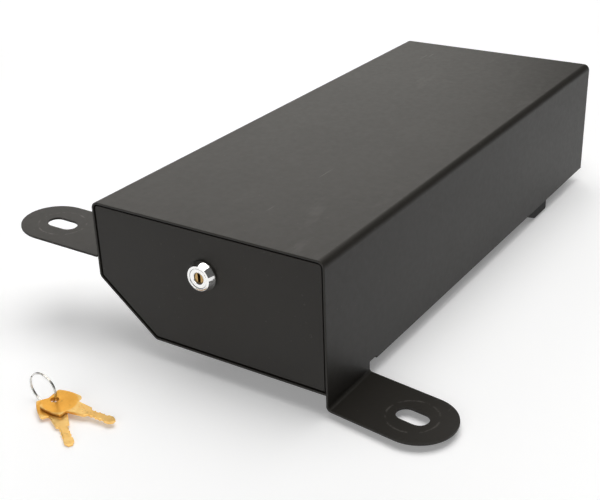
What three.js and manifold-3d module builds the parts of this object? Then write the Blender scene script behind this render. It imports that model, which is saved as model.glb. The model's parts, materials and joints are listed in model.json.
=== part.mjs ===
// Under-seat lock box: a folded steel sleeve with bolt tabs, and a drawer locked by a key cam lock.
// Millimetres. +X is the right of the front, +Y goes in from the front to the rear, +Z is up.
// The origin is on the underside of the sleeve's floor, midway along the sleeve.
import * as THREE from "three";
import { mergeVertices } from "three/addons/utils/BufferGeometryUtils.js";
import Module from "manifold-3d";

const wasm = await Module();
wasm.setup();

// ---- Driving dimensions: sleeve ----
const WIDTH = 177;
const LENGTH = 428;
const HEIGHT = 90;
const CUT_ACROSS = 44; // the cut-off lower left corner, along the floor
const CUT_UP = 36; // and up the left wall
const SHEET = 1.5; // sleeve, brackets and drawer front
const BEND = 5; // outside radius of a fold
const SKIRT = 4.6; // the right wall reaches this far below the floor
const REAR_PANEL_FLANGE = 12;
const CONTACT = 0.3; // between pieces that touch
const OVERRUN = 1; // a cutting tool reaches this far past the face it cuts

// ---- Bolt tabs ----
const TAB_WIDTH = 50;
const TAB_SWEEP = THREE.MathUtils.degToRad(6.5); // both tabs lean forward
const TAB_REACH = 72.5; // right tab, from the wall to its round end
const TAB_DROP = 9.5; // right tab's top face, below the floor
const TAB_BEND = 2; // inside radius of the tab's fold
const TAB_LAP = 0.2; // the flat part of the tab runs this far into the fold
const SLOT_LENGTH = 22;
const SLOT_WIDTH = 12.7;
const TAB_SLOT_OUT = 44; // slot centre, from the wall
const EAR_REACH = 76.5;
const EAR_HEIGHT = 50.9; // left ear's top face at the wall
const EAR_RISE = THREE.MathUtils.degToRad(4.9);
const EAR_SLOT_OUT = 47.5;
const EAR_SETBACK = 7; // its flange on the wall, from both edges of the ear
const RELIEF_LENGTH = 9; // notch in the skirt behind the right tab
const RELIEF_HEIGHT = 1.8;

// ---- Rear foot ----
const FOOT_DEPTH = 16; // lowest point, below the floor
const FOOT_FLANGE = 20;
const FOOT_REAR_INSET = 77; // rear end of the foot, from the sleeve's rear
const FOOT_LENGTH = 44;
const FOOT_BASE = 20; // length of its level underside
const FOOT_FRONT_DEPTH = 5.2; // depth where its sloping front edge starts

// ---- Drawer ----
const PANEL_GAP = 1;
const PANEL_RECESS = 0.5;
const TRAY_SHEET = 1.2;
const TRAY_BEND = 3;
const TRAY_SIDE_GAP = 2; // each side, from the sleeve's inner face
const TRAY_TOP_GAP = 8; // below the sleeve's roof
const TRAY_LIP = 7;
const TRAY_REAR_GAP = 1.5; // from the rear panel's flange
const BACK_FLANGE = 13;
const BACK_RISE = 4.4; // drawer back above the tray's lips, to meet the stops
const LINER = 3;
const LINER_GAP = 1.5;
const GLIDE_WIDTH = 12;
const GLIDE = 1;
const GLIDE_INSET = 20; // strip ends, from the sleeve's ends
const GLIDE_SIDE = 20; // strip centres, from the floor's sides
const BUMPER_RADIUS = 6;
const BUMPER_DOME = 4;
const RIVET_RADIUS = 1.6;
const RIVET_HEAD = 1;
const RIVET_HEAD_RADIUS = 3.2;
const RIVET_TAIL = 2;
const RIVET_TAIL_RADIUS = 2.1;
const RIVET_BACK = 6; // from the tray's rear edge
const RIVET_ROWS = 2;

// ---- Catch and stops ----
const STRIKE_WIDTH = 26;
const STRIKE_DROP = 14;
const STRIKE_FLANGE = 14;
const STRIKE_Y = 22; // front face of the strike, from the sleeve's front
const STOP_WIDTH = 18;
const STOP_DROP = 6;
const STOP_FLANGE = 12;
const STOP_Y = 44;
const STOP_X = 45;

// ---- Lock ----
const LOCK_DROP = 31; // lock axis, below the top of the sleeve
const KEY_SLOT_GAP = 0.2; // beside the key's blade
const KEY_SLOT_END_GAP = 0.1; // above and below it
const KEY_SLOT_DEPTH = 15;
const CORE_WALL = 0.3; // past the ends of the key slot
const CORE_RECESS = 1;
const KEYHOLE_DEPTH = 18;
const PLUG_WALL = 2.6;
const PLUG_RECESS = 0.2;
const PLUG_GAP = 0.35;
const BARREL_WALL = 1.35;
const BARREL_FLAT_CUT = 0.8;
const COLLAR_RIM = 2.1; // collar beyond the barrel
const COLLAR_TAPER = 1.7;
const COLLAR_PROUD = 5.8;
const COLLAR_EDGE = 1.4; // straight edge of the collar at the drawer front
const COLLAR_ROUND = 0.5;
const CAM = 2;
const CAM_TIP_GAP = 3.7; // under the strike's flange, when the cam is up
const CAM_HUB = 8;
const CAM_ARM = 11;
const CAM_BEHIND_STRIKE = 1.2;
const TAIL = 7; // side of the plug's square tail
const TAIL_GAP = 0.3;
const NUT_RIM = 3; // half the width over the nut's flats, beyond the barrel
const NUT = 4;
const NUT_CHAMFER = 0.8;
const WASHER = 0.8;
const WASHER_RIM = 2.5;
const WASHER_TOOTH = 1.2;
const WASHER_TEETH = 14;
const CAM_WASHER = 0.9;
const CAM_WASHER_RADIUS = 5;
const CAM_WASHER_SPLIT = THREE.MathUtils.degToRad(7); // half its gap
const SCREW_RADIUS = 2;
const SCREW_LENGTH = 8;
const SCREW_POINT = 0.5;
const SCREW_HEAD_RADIUS = 4.2;
const SCREW_HEAD = 2.4;
const RECESS_ARM = 2.5;
const RECESS_WIDTH = 1;
const RECESS_DEPTH = 1.3;

// ---- Keys ----
const KEY = 1.8;
const KEY_HEAD_LENGTH = 17.7;
const KEY_HEAD_WIDTH = 22; // at its widest, halfway along
const KEY_END_WIDTH = 19;
const KEY_SHOULDER_WIDTH = 20.8;
const KEY_ROUND = 1.4;
const KEY_HOLE_RADIUS = 2.7;
const KEY_HOLE_INSET = 4.6; // hole centre, from the flat end of the head
const SHANK_LENGTH = 12.4;
const SHANK_WIDTH = 11.4;
const SHANK_TAPER = 1.5; // on each side
const SHANK_STEP = 0.8; // length of the step down to the blade
const BLADE_LENGTH = 19.9;
const BLADE_WIDTH = 6;
const BLADE_POINT = 2.6;
const BLADE_TIP_WIDTH = 2.6;
const BLADE_CUT_DEPTHS = [0.8, 1, 0.6, 0.9];
const RING_RADIUS = 10.6;
const WIRE_RADIUS = 0.75;
const KEYS_X = -72.5; // ring centre, from the middle of the box
const KEYS_FORWARD = 76; // ring centre, in front of the sleeve
const KEYS_PITCH = THREE.MathUtils.degToRad(3.4);
const KEYS_PITCH_HEADING = THREE.MathUtils.degToRad(-35);
const KEY_HEADINGS = [5, -33].map(THREE.MathUtils.degToRad); // upper key, lower key
const KEY_RING_ANGLES = [58, 42].map(THREE.MathUtils.degToRad); // up from the ring's lowest point
const KEY_LAY = 0.35; // between the faces of the two keys

// ---- Derived places ----
const FRONT = -LENGTH / 2;
const REAR = LENGTH / 2;
const RIGHT = WIDTH / 2;
const PANEL_FRONT = FRONT + PANEL_RECESS;
const PANEL_BACK = PANEL_FRONT + SHEET;
const ROOF = HEIGHT - SHEET; // underside of the roof
const TRAY_FLOOR = SHEET + CONTACT + GLIDE + CONTACT;
const TRAY_TOP = ROOF - TRAY_TOP_GAP;
const REAR_PANEL_INNER = REAR - SHEET;
const TRAY_REAR = REAR_PANEL_INNER - REAR_PANEL_FLANGE - TRAY_REAR_GAP;
const TRAY_FRONT = PANEL_BACK + CONTACT;
const STRIKE_BACK = FRONT + STRIKE_Y + SHEET;
const CAM_FRONT = STRIKE_BACK + CAM_BEHIND_STRIKE;
const LOCK_HEIGHT = HEIGHT - LOCK_DROP;
const CAM_LENGTH = ROOF - CONTACT - SHEET - CAM_TIP_GAP - LOCK_HEIGHT; // lock axis to its tip
const GROUND = -FOOT_DEPTH;

// ---- Derived sizes of the lock, from the key's blade outwards ----
const KEY_SLOT_WIDTH = KEY + 2 * KEY_SLOT_GAP;
const KEY_SLOT_HEIGHT = BLADE_WIDTH + 2 * KEY_SLOT_END_GAP;
const CORE_RADIUS = KEY_SLOT_HEIGHT / 2 + CORE_WALL;
const KEYHOLE_RADIUS = CORE_RADIUS + CONTACT;
const PLUG_RADIUS = KEYHOLE_RADIUS + PLUG_WALL;
const BORE_RADIUS = PLUG_RADIUS + PLUG_GAP;
const BARREL_RADIUS = BORE_RADIUS + BARREL_WALL;
const BARREL_FLAT = BARREL_RADIUS - BARREL_FLAT_CUT; // half the width over the barrel's flats
const BARREL_END = CAM_FRONT - PANEL_FRONT - 2 * CONTACT;
const COLLAR_RADIUS = BARREL_RADIUS + COLLAR_RIM;
const COLLAR_FACE_RADIUS = COLLAR_RADIUS - COLLAR_TAPER;
const WASHER_RADIUS = BARREL_RADIUS + WASHER_RIM;
const NUT_HALF = BARREL_RADIUS + NUT_RIM;
const NUT_FRONT = SHEET + 2 * CONTACT + WASHER;
const CAM_BACK = CAM_FRONT - PANEL_FRONT + CAM + CONTACT;

const COLORS = { steel: 0x2b2a28, liner: 0x1c1c1d, zinc: 0xb9bbbd, chrome: 0xe2e4e6, brass: 0xc79a3e };
const black = () => new THREE.MeshStandardMaterial({ color: COLORS.steel, roughness: 0.55, metalness: 0.1 });
const zinc = () => new THREE.MeshStandardMaterial({ color: COLORS.zinc, roughness: 0.35, metalness: 0.9 });
const chrome = () => new THREE.MeshStandardMaterial({ color: COLORS.chrome, roughness: 0.1, metalness: 1 });
const brass = () => new THREE.MeshStandardMaterial({ color: COLORS.brass, roughness: 0.3, metalness: 1 });
const soft = () => new THREE.MeshStandardMaterial({ color: COLORS.liner, roughness: 0.95, metalness: 0 });

// ---- Solids: join and cut ----
function solidOf(geometry) {
  const plain = geometry.clone();
  plain.deleteAttribute("normal");
  plain.deleteAttribute("uv");
  const merged = mergeVertices(plain, 1e-4);
  const mesh = new wasm.Mesh({
    numProp: 3,
    vertProperties: new Float32Array(merged.attributes.position.array),
    triVerts: new Uint32Array(merged.index.array),
  });
  return new wasm.Manifold(mesh);
}

function geometryOf(solid) {
  const mesh = solid.getMesh();
  const geometry = new THREE.BufferGeometry();
  geometry.setAttribute("position", new THREE.BufferAttribute(mesh.vertProperties, 3));
  geometry.setIndex(new THREE.BufferAttribute(mesh.triVerts, 1));
  return geometry;
}

const join = (...geometries) => geometryOf(geometries.map(solidOf).reduce((a, b) => a.add(b)));
const cut = (geometry, ...tools) =>
  geometryOf(tools.map(solidOf).reduce((a, b) => a.subtract(b), solidOf(geometry)));
const common = (a, b) => geometryOf(solidOf(a).intersect(solidOf(b)));

function box(low, high) {
  const size = high.map((value, i) => value - low[i]);
  const middle = high.map((value, i) => (value + low[i]) / 2);
  return new THREE.BoxGeometry(...size).translate(...middle);
}

// ---- Outlines ----
const point = (x, y) => new THREE.Vector2(x, y);

// Moves each side of a counter-clockwise outline to its left, and joins neighbouring sides again.
function offsetOutline(points, distance, closed = true) {
  const sides = points.map((p, i) => {
    const along = points[(i + 1) % points.length].clone().sub(p).normalize();
    const normal = point(-along.y, along.x);
    return { start: p.clone().addScaledVector(normal, distance), along, normal };
  });
  return points.map((p, i) => {
    const next = sides[i];
    const before = sides[(i + points.length - 1) % points.length];
    if (!closed && i === 0) return next.start;
    if (!closed && i === points.length - 1) return p.clone().addScaledVector(before.normal, distance);
    const reach = next.start.clone().sub(before.start).dot(next.normal) / before.along.dot(next.normal);
    return before.start.clone().addScaledVector(before.along, reach);
  });
}

// A closed outline whose corner i is rounded to radii[i].
function roundedOutline(points, radii, Outline = THREE.Shape) {
  const outline = new Outline();
  points.forEach((corner, i) => {
    const before = points[(i + points.length - 1) % points.length].clone().sub(corner).normalize();
    const after = points[(i + 1) % points.length].clone().sub(corner).normalize();
    const radius = radii[i];
    if (radius < 1e-6) {
      if (i) outline.lineTo(corner.x, corner.y);
      else outline.moveTo(corner.x, corner.y);
      return;
    }
    const half = Math.acos(before.dot(after)) / 2;
    const setback = radius / Math.tan(half);
    const start = corner.clone().addScaledVector(before, setback);
    const end = corner.clone().addScaledVector(after, setback);
    const middle = before.clone().add(after).normalize().multiplyScalar(radius / Math.sin(half));
    const centre = corner.clone().add(middle);
    const from = Math.atan2(start.y - centre.y, start.x - centre.x);
    const to = Math.atan2(end.y - centre.y, end.x - centre.x);
    const clockwise = before.cross(after) > 0;
    if (i) outline.lineTo(start.x, start.y);
    else outline.moveTo(start.x, start.y);
    outline.absarc(centre.x, centre.y, radius, from, to, clockwise);
  });
  outline.closePath();
  return outline;
}

const ARC_STEPS = 5;
// The outline's plane is X and Z: it is drawn out along +Y from start.
function alongY(outline, start, length, steps = ARC_STEPS) {
  const geometry = new THREE.ExtrudeGeometry(outline, {
    depth: length,
    bevelEnabled: false,
    curveSegments: steps,
  });
  return geometry.rotateX(Math.PI / 2).translate(0, start + length, 0);
}

// The outline's plane is X and Y: it is drawn up along +Z from bottom.
function upward(outline, bottom, height, steps = ARC_STEPS) {
  const geometry = new THREE.ExtrudeGeometry(outline, {
    depth: height,
    bevelEnabled: false,
    curveSegments: steps,
  });
  return geometry.translate(0, 0, bottom);
}

// A lathe profile of [radius, y] pairs, from low y to high y, turned round the Y axis.
function turned(profile, segments = 32) {
  return new THREE.LatheGeometry(profile.map(([radius, y]) => point(radius, y)), segments);
}

const DOME_STEPS = 4;
// Profile points of a dome, from its rim at y = base to its top on the axis.
function dome(radius, base, height) {
  const steps = Array.from({ length: DOME_STEPS }, (_, i) => ((Math.PI / 2) * i) / DOME_STEPS);
  const side = steps.map((angle) => [radius * Math.cos(angle), base + height * Math.sin(angle)]);
  return [...side, [0, base + height]];
}

// The sleeve's five-sided section, moved in from its outer face. Its corners run counter-clockwise from
// the lower right, and only that one is sharp, because the floor is welded to the right wall there.
function sectionCorners(inset) {
  const outer = [
    point(RIGHT, 0),
    point(RIGHT, HEIGHT),
    point(-RIGHT, HEIGHT),
    point(-RIGHT, CUT_UP),
    point(-RIGHT + CUT_ACROSS, 0),
  ];
  return offsetOutline(outer, inset);
}

function sectionOutline(inset, Outline = THREE.Shape) {
  const radius = Math.max(BEND - inset, 1);
  return roundedOutline(sectionCorners(inset), [0, radius, radius, radius, radius], Outline);
}

// ---- Bolt tabs ----
// A flat tab in its own axes: X outward from the wall, Y along the wall from the tab's near edge.
function tabOutline(reach, slotOut) {
  const radius = TAB_WIDTH / 2;
  const root = -TAB_WIDTH * Math.tan(TAB_SWEEP) - TAB_BEND;
  const outline = new THREE.Shape();
  outline.moveTo(root, 0);
  outline.lineTo(reach - radius, 0);
  outline.absarc(reach - radius, radius, radius, -Math.PI / 2, Math.PI / 2, false);
  outline.lineTo(root, TAB_WIDTH);
  outline.closePath();
  const end = SLOT_WIDTH / 2;
  const half = SLOT_LENGTH / 2 - end;
  const slot = new THREE.Path();
  slot.absarc(slotOut + half, radius, end, -Math.PI / 2, Math.PI / 2, false);
  slot.absarc(slotOut - half, radius, end, Math.PI / 2, (3 * Math.PI) / 2, false);
  slot.closePath();
  outline.holes.push(slot);
  return outline;
}

const TAB_STEPS = 14;
const TAB_SPAN = TAB_WIDTH / Math.cos(TAB_SWEEP); // the tab's width measured along the wall
function rightTab() {
  const top = -TAB_DROP;
  const bendX = RIGHT + TAB_BEND;
  const bendZ = top + TAB_BEND;
  const leg = new THREE.Shape();
  leg.moveTo(RIGHT - SHEET, 0);
  leg.lineTo(RIGHT - SHEET, bendZ);
  leg.absarc(bendX, bendZ, TAB_BEND + SHEET, Math.PI, (3 * Math.PI) / 2, false);
  leg.lineTo(bendX, top);
  leg.absarc(bendX, bendZ, TAB_BEND, (3 * Math.PI) / 2, Math.PI, true);
  leg.lineTo(RIGHT, 0);
  leg.closePath();
  const flat = upward(tabOutline(TAB_REACH, TAB_SLOT_OUT), top - SHEET, SHEET, TAB_STEPS);
  flat.rotateZ(-TAB_SWEEP).translate(RIGHT, FRONT, 0);
  const outside = box([bendX - TAB_LAP, FRONT - LENGTH, -LENGTH], [bendX + LENGTH, REAR, LENGTH]);
  return join(alongY(leg, FRONT, TAB_SPAN), common(flat, outside));
}

function leftEar() {
  const wall = -RIGHT - CONTACT;
  const flat = upward(tabOutline(EAR_REACH, EAR_SLOT_OUT), -SHEET, SHEET, TAB_STEPS);
  flat.translate(0, -TAB_WIDTH, 0).rotateZ(Math.PI + TAB_SWEEP).rotateY(EAR_RISE);
  flat.translate(-RIGHT, FRONT, EAR_HEIGHT);
  const outside = box([wall - LENGTH, FRONT - LENGTH, -LENGTH], [wall, REAR, LENGTH]);
  const wallFoot = CUT_UP + BEND / 2;
  const flange = box(
    [wall - SHEET, FRONT + EAR_SETBACK, wallFoot],
    [wall, FRONT + TAB_SPAN - EAR_SETBACK, EAR_HEIGHT - SHEET / 2],
  );
  return join(common(flat, outside), flange);
}

// ---- Sleeve ----
function sleeveShell() {
  const section = sectionOutline(0);
  section.holes.push(sectionOutline(SHEET, THREE.Path));
  const skirt = box([RIGHT - SHEET, FRONT, -SKIRT], [RIGHT, REAR, SHEET]);
  const relief = box(
    [RIGHT - 2 * SHEET, FRONT + TAB_SPAN, -2 * SKIRT],
    [RIGHT + SHEET, FRONT + TAB_SPAN + RELIEF_LENGTH, RELIEF_HEIGHT - SKIRT],
  );
  return join(alongY(section, FRONT, LENGTH), cut(skirt, relief), rightTab());
}

function rearPanel() {
  const edge = SHEET + CONTACT;
  const plate = alongY(sectionOutline(edge), REAR_PANEL_INNER, SHEET);
  const flange = sectionOutline(edge);
  flange.holes.push(sectionOutline(edge + SHEET, THREE.Path));
  return join(plate, alongY(flange, REAR_PANEL_INNER - REAR_PANEL_FLANGE, REAR_PANEL_FLANGE + SHEET / 2));
}

// A folded foot, open towards the middle of the box, whose front edge slopes up to the skirt.
function rearFoot() {
  const outer = RIGHT - SHEET - CONTACT;
  const rear = REAR - FOOT_REAR_INSET;
  const front = rear - FOOT_LENGTH;
  const path = [
    point(outer - FOOT_FLANGE, GROUND),
    point(outer, GROUND),
    point(outer, -CONTACT),
    point(outer - FOOT_FLANGE, -CONTACT),
  ];
  const inner = offsetOutline(path, SHEET, false).reverse();
  const channel = roundedOutline([...path, ...inner], [0, 2 * SHEET, 2 * SHEET, 0, 0, SHEET, SHEET, 0]);
  const slope = new THREE.Shape([
    point(front - OVERRUN, GROUND - OVERRUN),
    point(rear - FOOT_BASE, GROUND - OVERRUN),
    point(rear - FOOT_BASE, GROUND),
    point(front, -FOOT_FRONT_DEPTH),
    point(front - OVERRUN, -FOOT_FRONT_DEPTH),
  ]);
  const across = FOOT_FLANGE + 2 * OVERRUN;
  const wedge = new THREE.ExtrudeGeometry(slope, { depth: across, bevelEnabled: false });
  wedge.rotateX(Math.PI / 2).rotateZ(Math.PI / 2).translate(outer - FOOT_FLANGE - OVERRUN, 0, 0);
  return cut(alongY(channel, front, FOOT_LENGTH), wedge);
}

// An angle under the roof: a level flange behind a leg that hangs at frontY.
function roofAngle(centreX, frontY, width, drop, flange) {
  const low = centreX - width / 2;
  const high = centreX + width / 2;
  const top = ROOF - CONTACT;
  return join(
    box([low, frontY, top - drop], [high, frontY + SHEET, top]),
    box([low, frontY, top - SHEET], [high, frontY + flange, top]),
  );
}

function floorGlide(centreX) {
  const low = SHEET + CONTACT;
  return box(
    [centreX - GLIDE_WIDTH / 2, FRONT + GLIDE_INSET, low],
    [centreX + GLIDE_WIDTH / 2, REAR - GLIDE_INSET, low + GLIDE],
  );
}

// A rubber bumper on the Y axis: its flat end is at y = 0 and its domed end is forward.
function rearBumper() {
  const tall = REAR_PANEL_INNER - TRAY_REAR - 3 * CONTACT;
  const nose = dome(BUMPER_RADIUS, BUMPER_DOME - tall, -BUMPER_DOME);
  return turned([...nose.reverse(), [BUMPER_RADIUS, 0], [0, 0]], 20);
}

// ---- Drawer ----
const LOCK_STEPS = 12; // in each arc of the lock's parts
// The barrel and the hole it sits in: a circle with two flats.
function doubleFlat(radius, halfFlat, Outline = THREE.Shape) {
  const angle = Math.acos(halfFlat / radius);
  const outline = new Outline();
  outline.absarc(0, 0, radius, angle, Math.PI - angle, false);
  outline.absarc(0, 0, radius, Math.PI + angle, 2 * Math.PI - angle, false);
  outline.closePath();
  return outline;
}

function drawerFront() {
  const plate = alongY(sectionOutline(SHEET + PANEL_GAP), PANEL_FRONT, SHEET);
  const outline = doubleFlat(BARREL_RADIUS + CONTACT, BARREL_FLAT + CONTACT);
  const hole = alongY(outline, PANEL_FRONT - OVERRUN, SHEET + 2 * OVERRUN, LOCK_STEPS);
  return cut(plate, hole.translate(0, 0, LOCK_HEIGHT));
}

// The tray's outer corners, from its right lip down, under and up to its left lip.
function trayPath() {
  const [lowerRight, , , cutTop, cutFoot] = sectionCorners(SHEET + TRAY_SIDE_GAP);
  const run = (cutFoot.x - cutTop.x) / (cutFoot.y - cutTop.y);
  const floorCut = point(cutFoot.x + run * (TRAY_FLOOR - cutFoot.y), TRAY_FLOOR);
  return [
    point(cutTop.x + TRAY_LIP, TRAY_TOP),
    point(cutTop.x, TRAY_TOP),
    cutTop,
    floorCut,
    point(lowerRight.x, TRAY_FLOOR),
    point(lowerRight.x, TRAY_TOP),
    point(lowerRight.x - TRAY_LIP, TRAY_TOP),
  ];
}

function drawerTray() {
  const outer = trayPath();
  const inner = offsetOutline(outer, TRAY_SHEET, false).reverse();
  const bend = TRAY_BEND;
  const inside = TRAY_BEND - TRAY_SHEET;
  const radii = [0, bend, bend, bend, bend, bend, 0, 0, inside, inside, inside, inside, inside, 0];
  const strip = roundedOutline([...outer, ...inner], radii);
  const tray = alongY(strip, TRAY_FRONT, TRAY_REAR - TRAY_FRONT);
  return cut(tray, ...rivetHoles());
}

// The drawer's back stands inside the tray, with a flange along each side wall for its rivets.
function drawerBack() {
  const [, leftTop, cutTop, floorCut, lowerRight, rightTop] = trayPath();
  const closed = [lowerRight, rightTop, leftTop, cutTop, floorCut];
  const corners = offsetOutline(closed, TRAY_SHEET + CONTACT);
  corners[1].y = TRAY_TOP - TRAY_SHEET - CONTACT;
  corners[2].y = corners[1].y;
  const radii = corners.map(() => TRAY_BEND - TRAY_SHEET);
  const face = TRAY_REAR - TRAY_SHEET;
  const plate = alongY(roundedOutline(corners, radii), face, TRAY_SHEET);
  const inLip = TRAY_LIP + TRAY_SHEET;
  const riser = box(
    [corners[2].x + inLip, face, corners[1].y - OVERRUN],
    [corners[1].x - inLip, TRAY_REAR, TRAY_TOP + BACK_RISE],
  );
  const flange = (outer, inner, foot) => {
    const [low, high] = [Math.min(outer.x, inner), Math.max(outer.x, inner)];
    const top = corners[1].y - TRAY_BEND;
    return box([low, TRAY_REAR - BACK_FLANGE, foot + TRAY_BEND], [high, TRAY_REAR - TRAY_SHEET / 2, top]);
  };
  const left = flange(corners[2], corners[2].x + TRAY_SHEET, corners[3].y);
  const right = flange(corners[1], corners[1].x - TRAY_SHEET, corners[0].y);
  return cut(join(plate, riser, left, right), ...rivetHoles());
}

const RIVET_Y = TRAY_REAR - RIVET_BACK;
const RIVET_FACE = RIGHT - SHEET - TRAY_SIDE_GAP; // outer face of the tray's side walls
const RIVET_GRIP = 2 * TRAY_SHEET + 2 * CONTACT;
const RIVET_SIDES = 16;
// The rows are spread evenly over the upright part of the tray's left wall.
const rivetHeights = Array.from({ length: RIVET_ROWS }, (_, i) => {
  return TRAY_TOP - ((i + 0.5) / RIVET_ROWS) * (TRAY_TOP - CUT_UP);
});
const rivetPlaces = [1, -1].flatMap((side) => rivetHeights.map((z) => ({ side, z })));

function rivetHoles() {
  const radius = RIVET_RADIUS + CONTACT;
  return rivetPlaces.map(({ side, z }) => {
    const hole = new THREE.CylinderGeometry(radius, radius, 2 * RIVET_GRIP + OVERRUN, RIVET_SIDES);
    return hole.rotateZ(Math.PI / 2).translate(side * RIVET_FACE, RIVET_Y, z);
  });
}

// A blind rivet on the Y axis: its domed head is at positive y, and its tail is spread behind the sheets.
function rivet() {
  const profile = [
    [0, -RIVET_GRIP - RIVET_TAIL],
    [RIVET_TAIL_RADIUS, -RIVET_GRIP - RIVET_TAIL + RIVET_RADIUS / 2],
    [RIVET_TAIL_RADIUS, -RIVET_GRIP - CONTACT],
    [RIVET_RADIUS, -RIVET_GRIP - CONTACT],
    [RIVET_RADIUS, CONTACT],
    ...dome(RIVET_HEAD_RADIUS, CONTACT, RIVET_HEAD),
  ];
  return turned(profile, RIVET_SIDES);
}

function drawerLiner() {
  const [, , , floorCut, lowerRight] = trayPath();
  const low = TRAY_FLOOR + TRAY_SHEET + CONTACT;
  const side = TRAY_BEND + LINER_GAP;
  return box(
    [floorCut.x + side, TRAY_FRONT + LINER_GAP, low],
    [lowerRight.x - side, TRAY_REAR - BACK_FLANGE - LINER_GAP, low + LINER],
  );
}

// ---- Lock, modelled about the Y axis with y = 0 at the drawer front's outer face ----
function lockHousing() {
  const collar = turned(
    [
      [BORE_RADIUS, -COLLAR_PROUD],
      [COLLAR_FACE_RADIUS - COLLAR_ROUND, -COLLAR_PROUD],
      [COLLAR_FACE_RADIUS, -COLLAR_PROUD + COLLAR_ROUND],
      [COLLAR_RADIUS, -COLLAR_EDGE],
      [COLLAR_RADIUS, -CONTACT],
      [BORE_RADIUS, -CONTACT],
      [BORE_RADIUS, -COLLAR_PROUD],
    ],
    40,
  );
  const section = doubleFlat(BARREL_RADIUS, BARREL_FLAT);
  section.holes.push(ringHole(BORE_RADIUS));
  return join(collar, alongY(section, -COLLAR_EDGE, BARREL_END + COLLAR_EDGE, LOCK_STEPS));
}

function ringHole(radius) {
  const hole = new THREE.Path();
  hole.absarc(0, 0, radius, 0, 2 * Math.PI, false);
  return hole;
}

function lockWasher() {
  const outline = new THREE.Shape();
  for (let i = 0; i < WASHER_TEETH * 2; i += 1) {
    const radius = i % 2 ? WASHER_RADIUS : WASHER_RADIUS - WASHER_TOOTH;
    const angle = (i * Math.PI) / WASHER_TEETH;
    if (i) outline.lineTo(radius * Math.cos(angle), radius * Math.sin(angle));
    else outline.moveTo(radius, 0);
  }
  outline.closePath();
  outline.holes.push(ringHole(BARREL_RADIUS + CONTACT));
  return alongY(outline, SHEET + CONTACT, WASHER, LOCK_STEPS);
}

function lockNut() {
  const radius = NUT_HALF / Math.cos(Math.PI / 6);
  const corners = Array.from({ length: 6 }, (_, i) => (i * Math.PI) / 3);
  const outline = new THREE.Shape(corners.map((a) => point(radius * Math.cos(a), radius * Math.sin(a))));
  outline.holes.push(ringHole(BARREL_RADIUS + CONTACT));
  const rear = NUT_FRONT + NUT;
  const chamfered = turned([
    [0, NUT_FRONT - OVERRUN],
    [radius + OVERRUN, NUT_FRONT - OVERRUN],
    [radius + OVERRUN, rear - NUT_CHAMFER],
    [NUT_HALF, rear],
    [0, rear],
  ]);
  return common(alongY(outline, NUT_FRONT, NUT, LOCK_STEPS), chamfered);
}

function lockPlug() {
  const front = -COLLAR_PROUD + PLUG_RECESS;
  const body = turned(
    [
      [0, front],
      [PLUG_RADIUS - COLLAR_ROUND, front],
      [PLUG_RADIUS, front + COLLAR_ROUND],
      [PLUG_RADIUS, BARREL_END + CONTACT],
      [0, BARREL_END + CONTACT],
    ],
    36,
  );
  const half = TAIL / 2;
  const tailEnd = BARREL_END + 2 * CONTACT + CAM;
  const tail = box([-half, BARREL_END, -half], [half, tailEnd, half]);
  const deep = KEYHOLE_DEPTH + OVERRUN;
  const keyhole = new THREE.CylinderGeometry(KEYHOLE_RADIUS, KEYHOLE_RADIUS, deep, 24);
  keyhole.translate(0, front - OVERRUN + deep / 2, 0);
  const tapped = SCREW_RADIUS + CONTACT;
  const screw = new THREE.CylinderGeometry(tapped, tapped, 2 * SCREW_LENGTH, 16);
  screw.translate(0, tailEnd, 0);
  return cut(join(body, tail), keyhole, screw);
}

function plugCore() {
  const front = -COLLAR_PROUD + PLUG_RECESS + CORE_RECESS;
  const rear = -COLLAR_PROUD + PLUG_RECESS + KEYHOLE_DEPTH - CONTACT;
  const core = new THREE.CylinderGeometry(CORE_RADIUS, CORE_RADIUS, rear - front, 24);
  core.translate(0, (front + rear) / 2, 0);
  const slot = box(
    [-KEY_SLOT_WIDTH / 2, front - OVERRUN, -KEY_SLOT_HEIGHT / 2],
    [KEY_SLOT_WIDTH / 2, front + KEY_SLOT_DEPTH, KEY_SLOT_HEIGHT / 2],
  );
  return cut(core, slot);
}

// At rest the cam lies level, clear of the strike. A quarter turn brings it up behind the strike.
function lockCam() {
  const outline = new THREE.Shape();
  const end = CAM_ARM / 2;
  const meet = Math.asin(end / CAM_HUB);
  outline.absarc(0, 0, CAM_HUB, meet, 2 * Math.PI - meet, false);
  outline.absarc(CAM_LENGTH - end, 0, end, -Math.PI / 2, Math.PI / 2, false);
  outline.closePath();
  const half = TAIL / 2 + TAIL_GAP;
  const corners = [point(half, half), point(-half, half), point(-half, -half), point(half, -half)];
  outline.holes.push(new THREE.Path(corners));
  return alongY(outline, CAM_FRONT - PANEL_FRONT, CAM, LOCK_STEPS);
}

// A split spring washer.
function camWasher() {
  const outline = new THREE.Shape();
  const from = CAM_WASHER_SPLIT;
  const to = 2 * Math.PI - CAM_WASHER_SPLIT;
  outline.absarc(0, 0, CAM_WASHER_RADIUS, from, to, false);
  outline.absarc(0, 0, SCREW_RADIUS + CONTACT, to, from, true);
  outline.closePath();
  return alongY(outline, CAM_BACK, CAM_WASHER, LOCK_STEPS);
}

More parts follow.
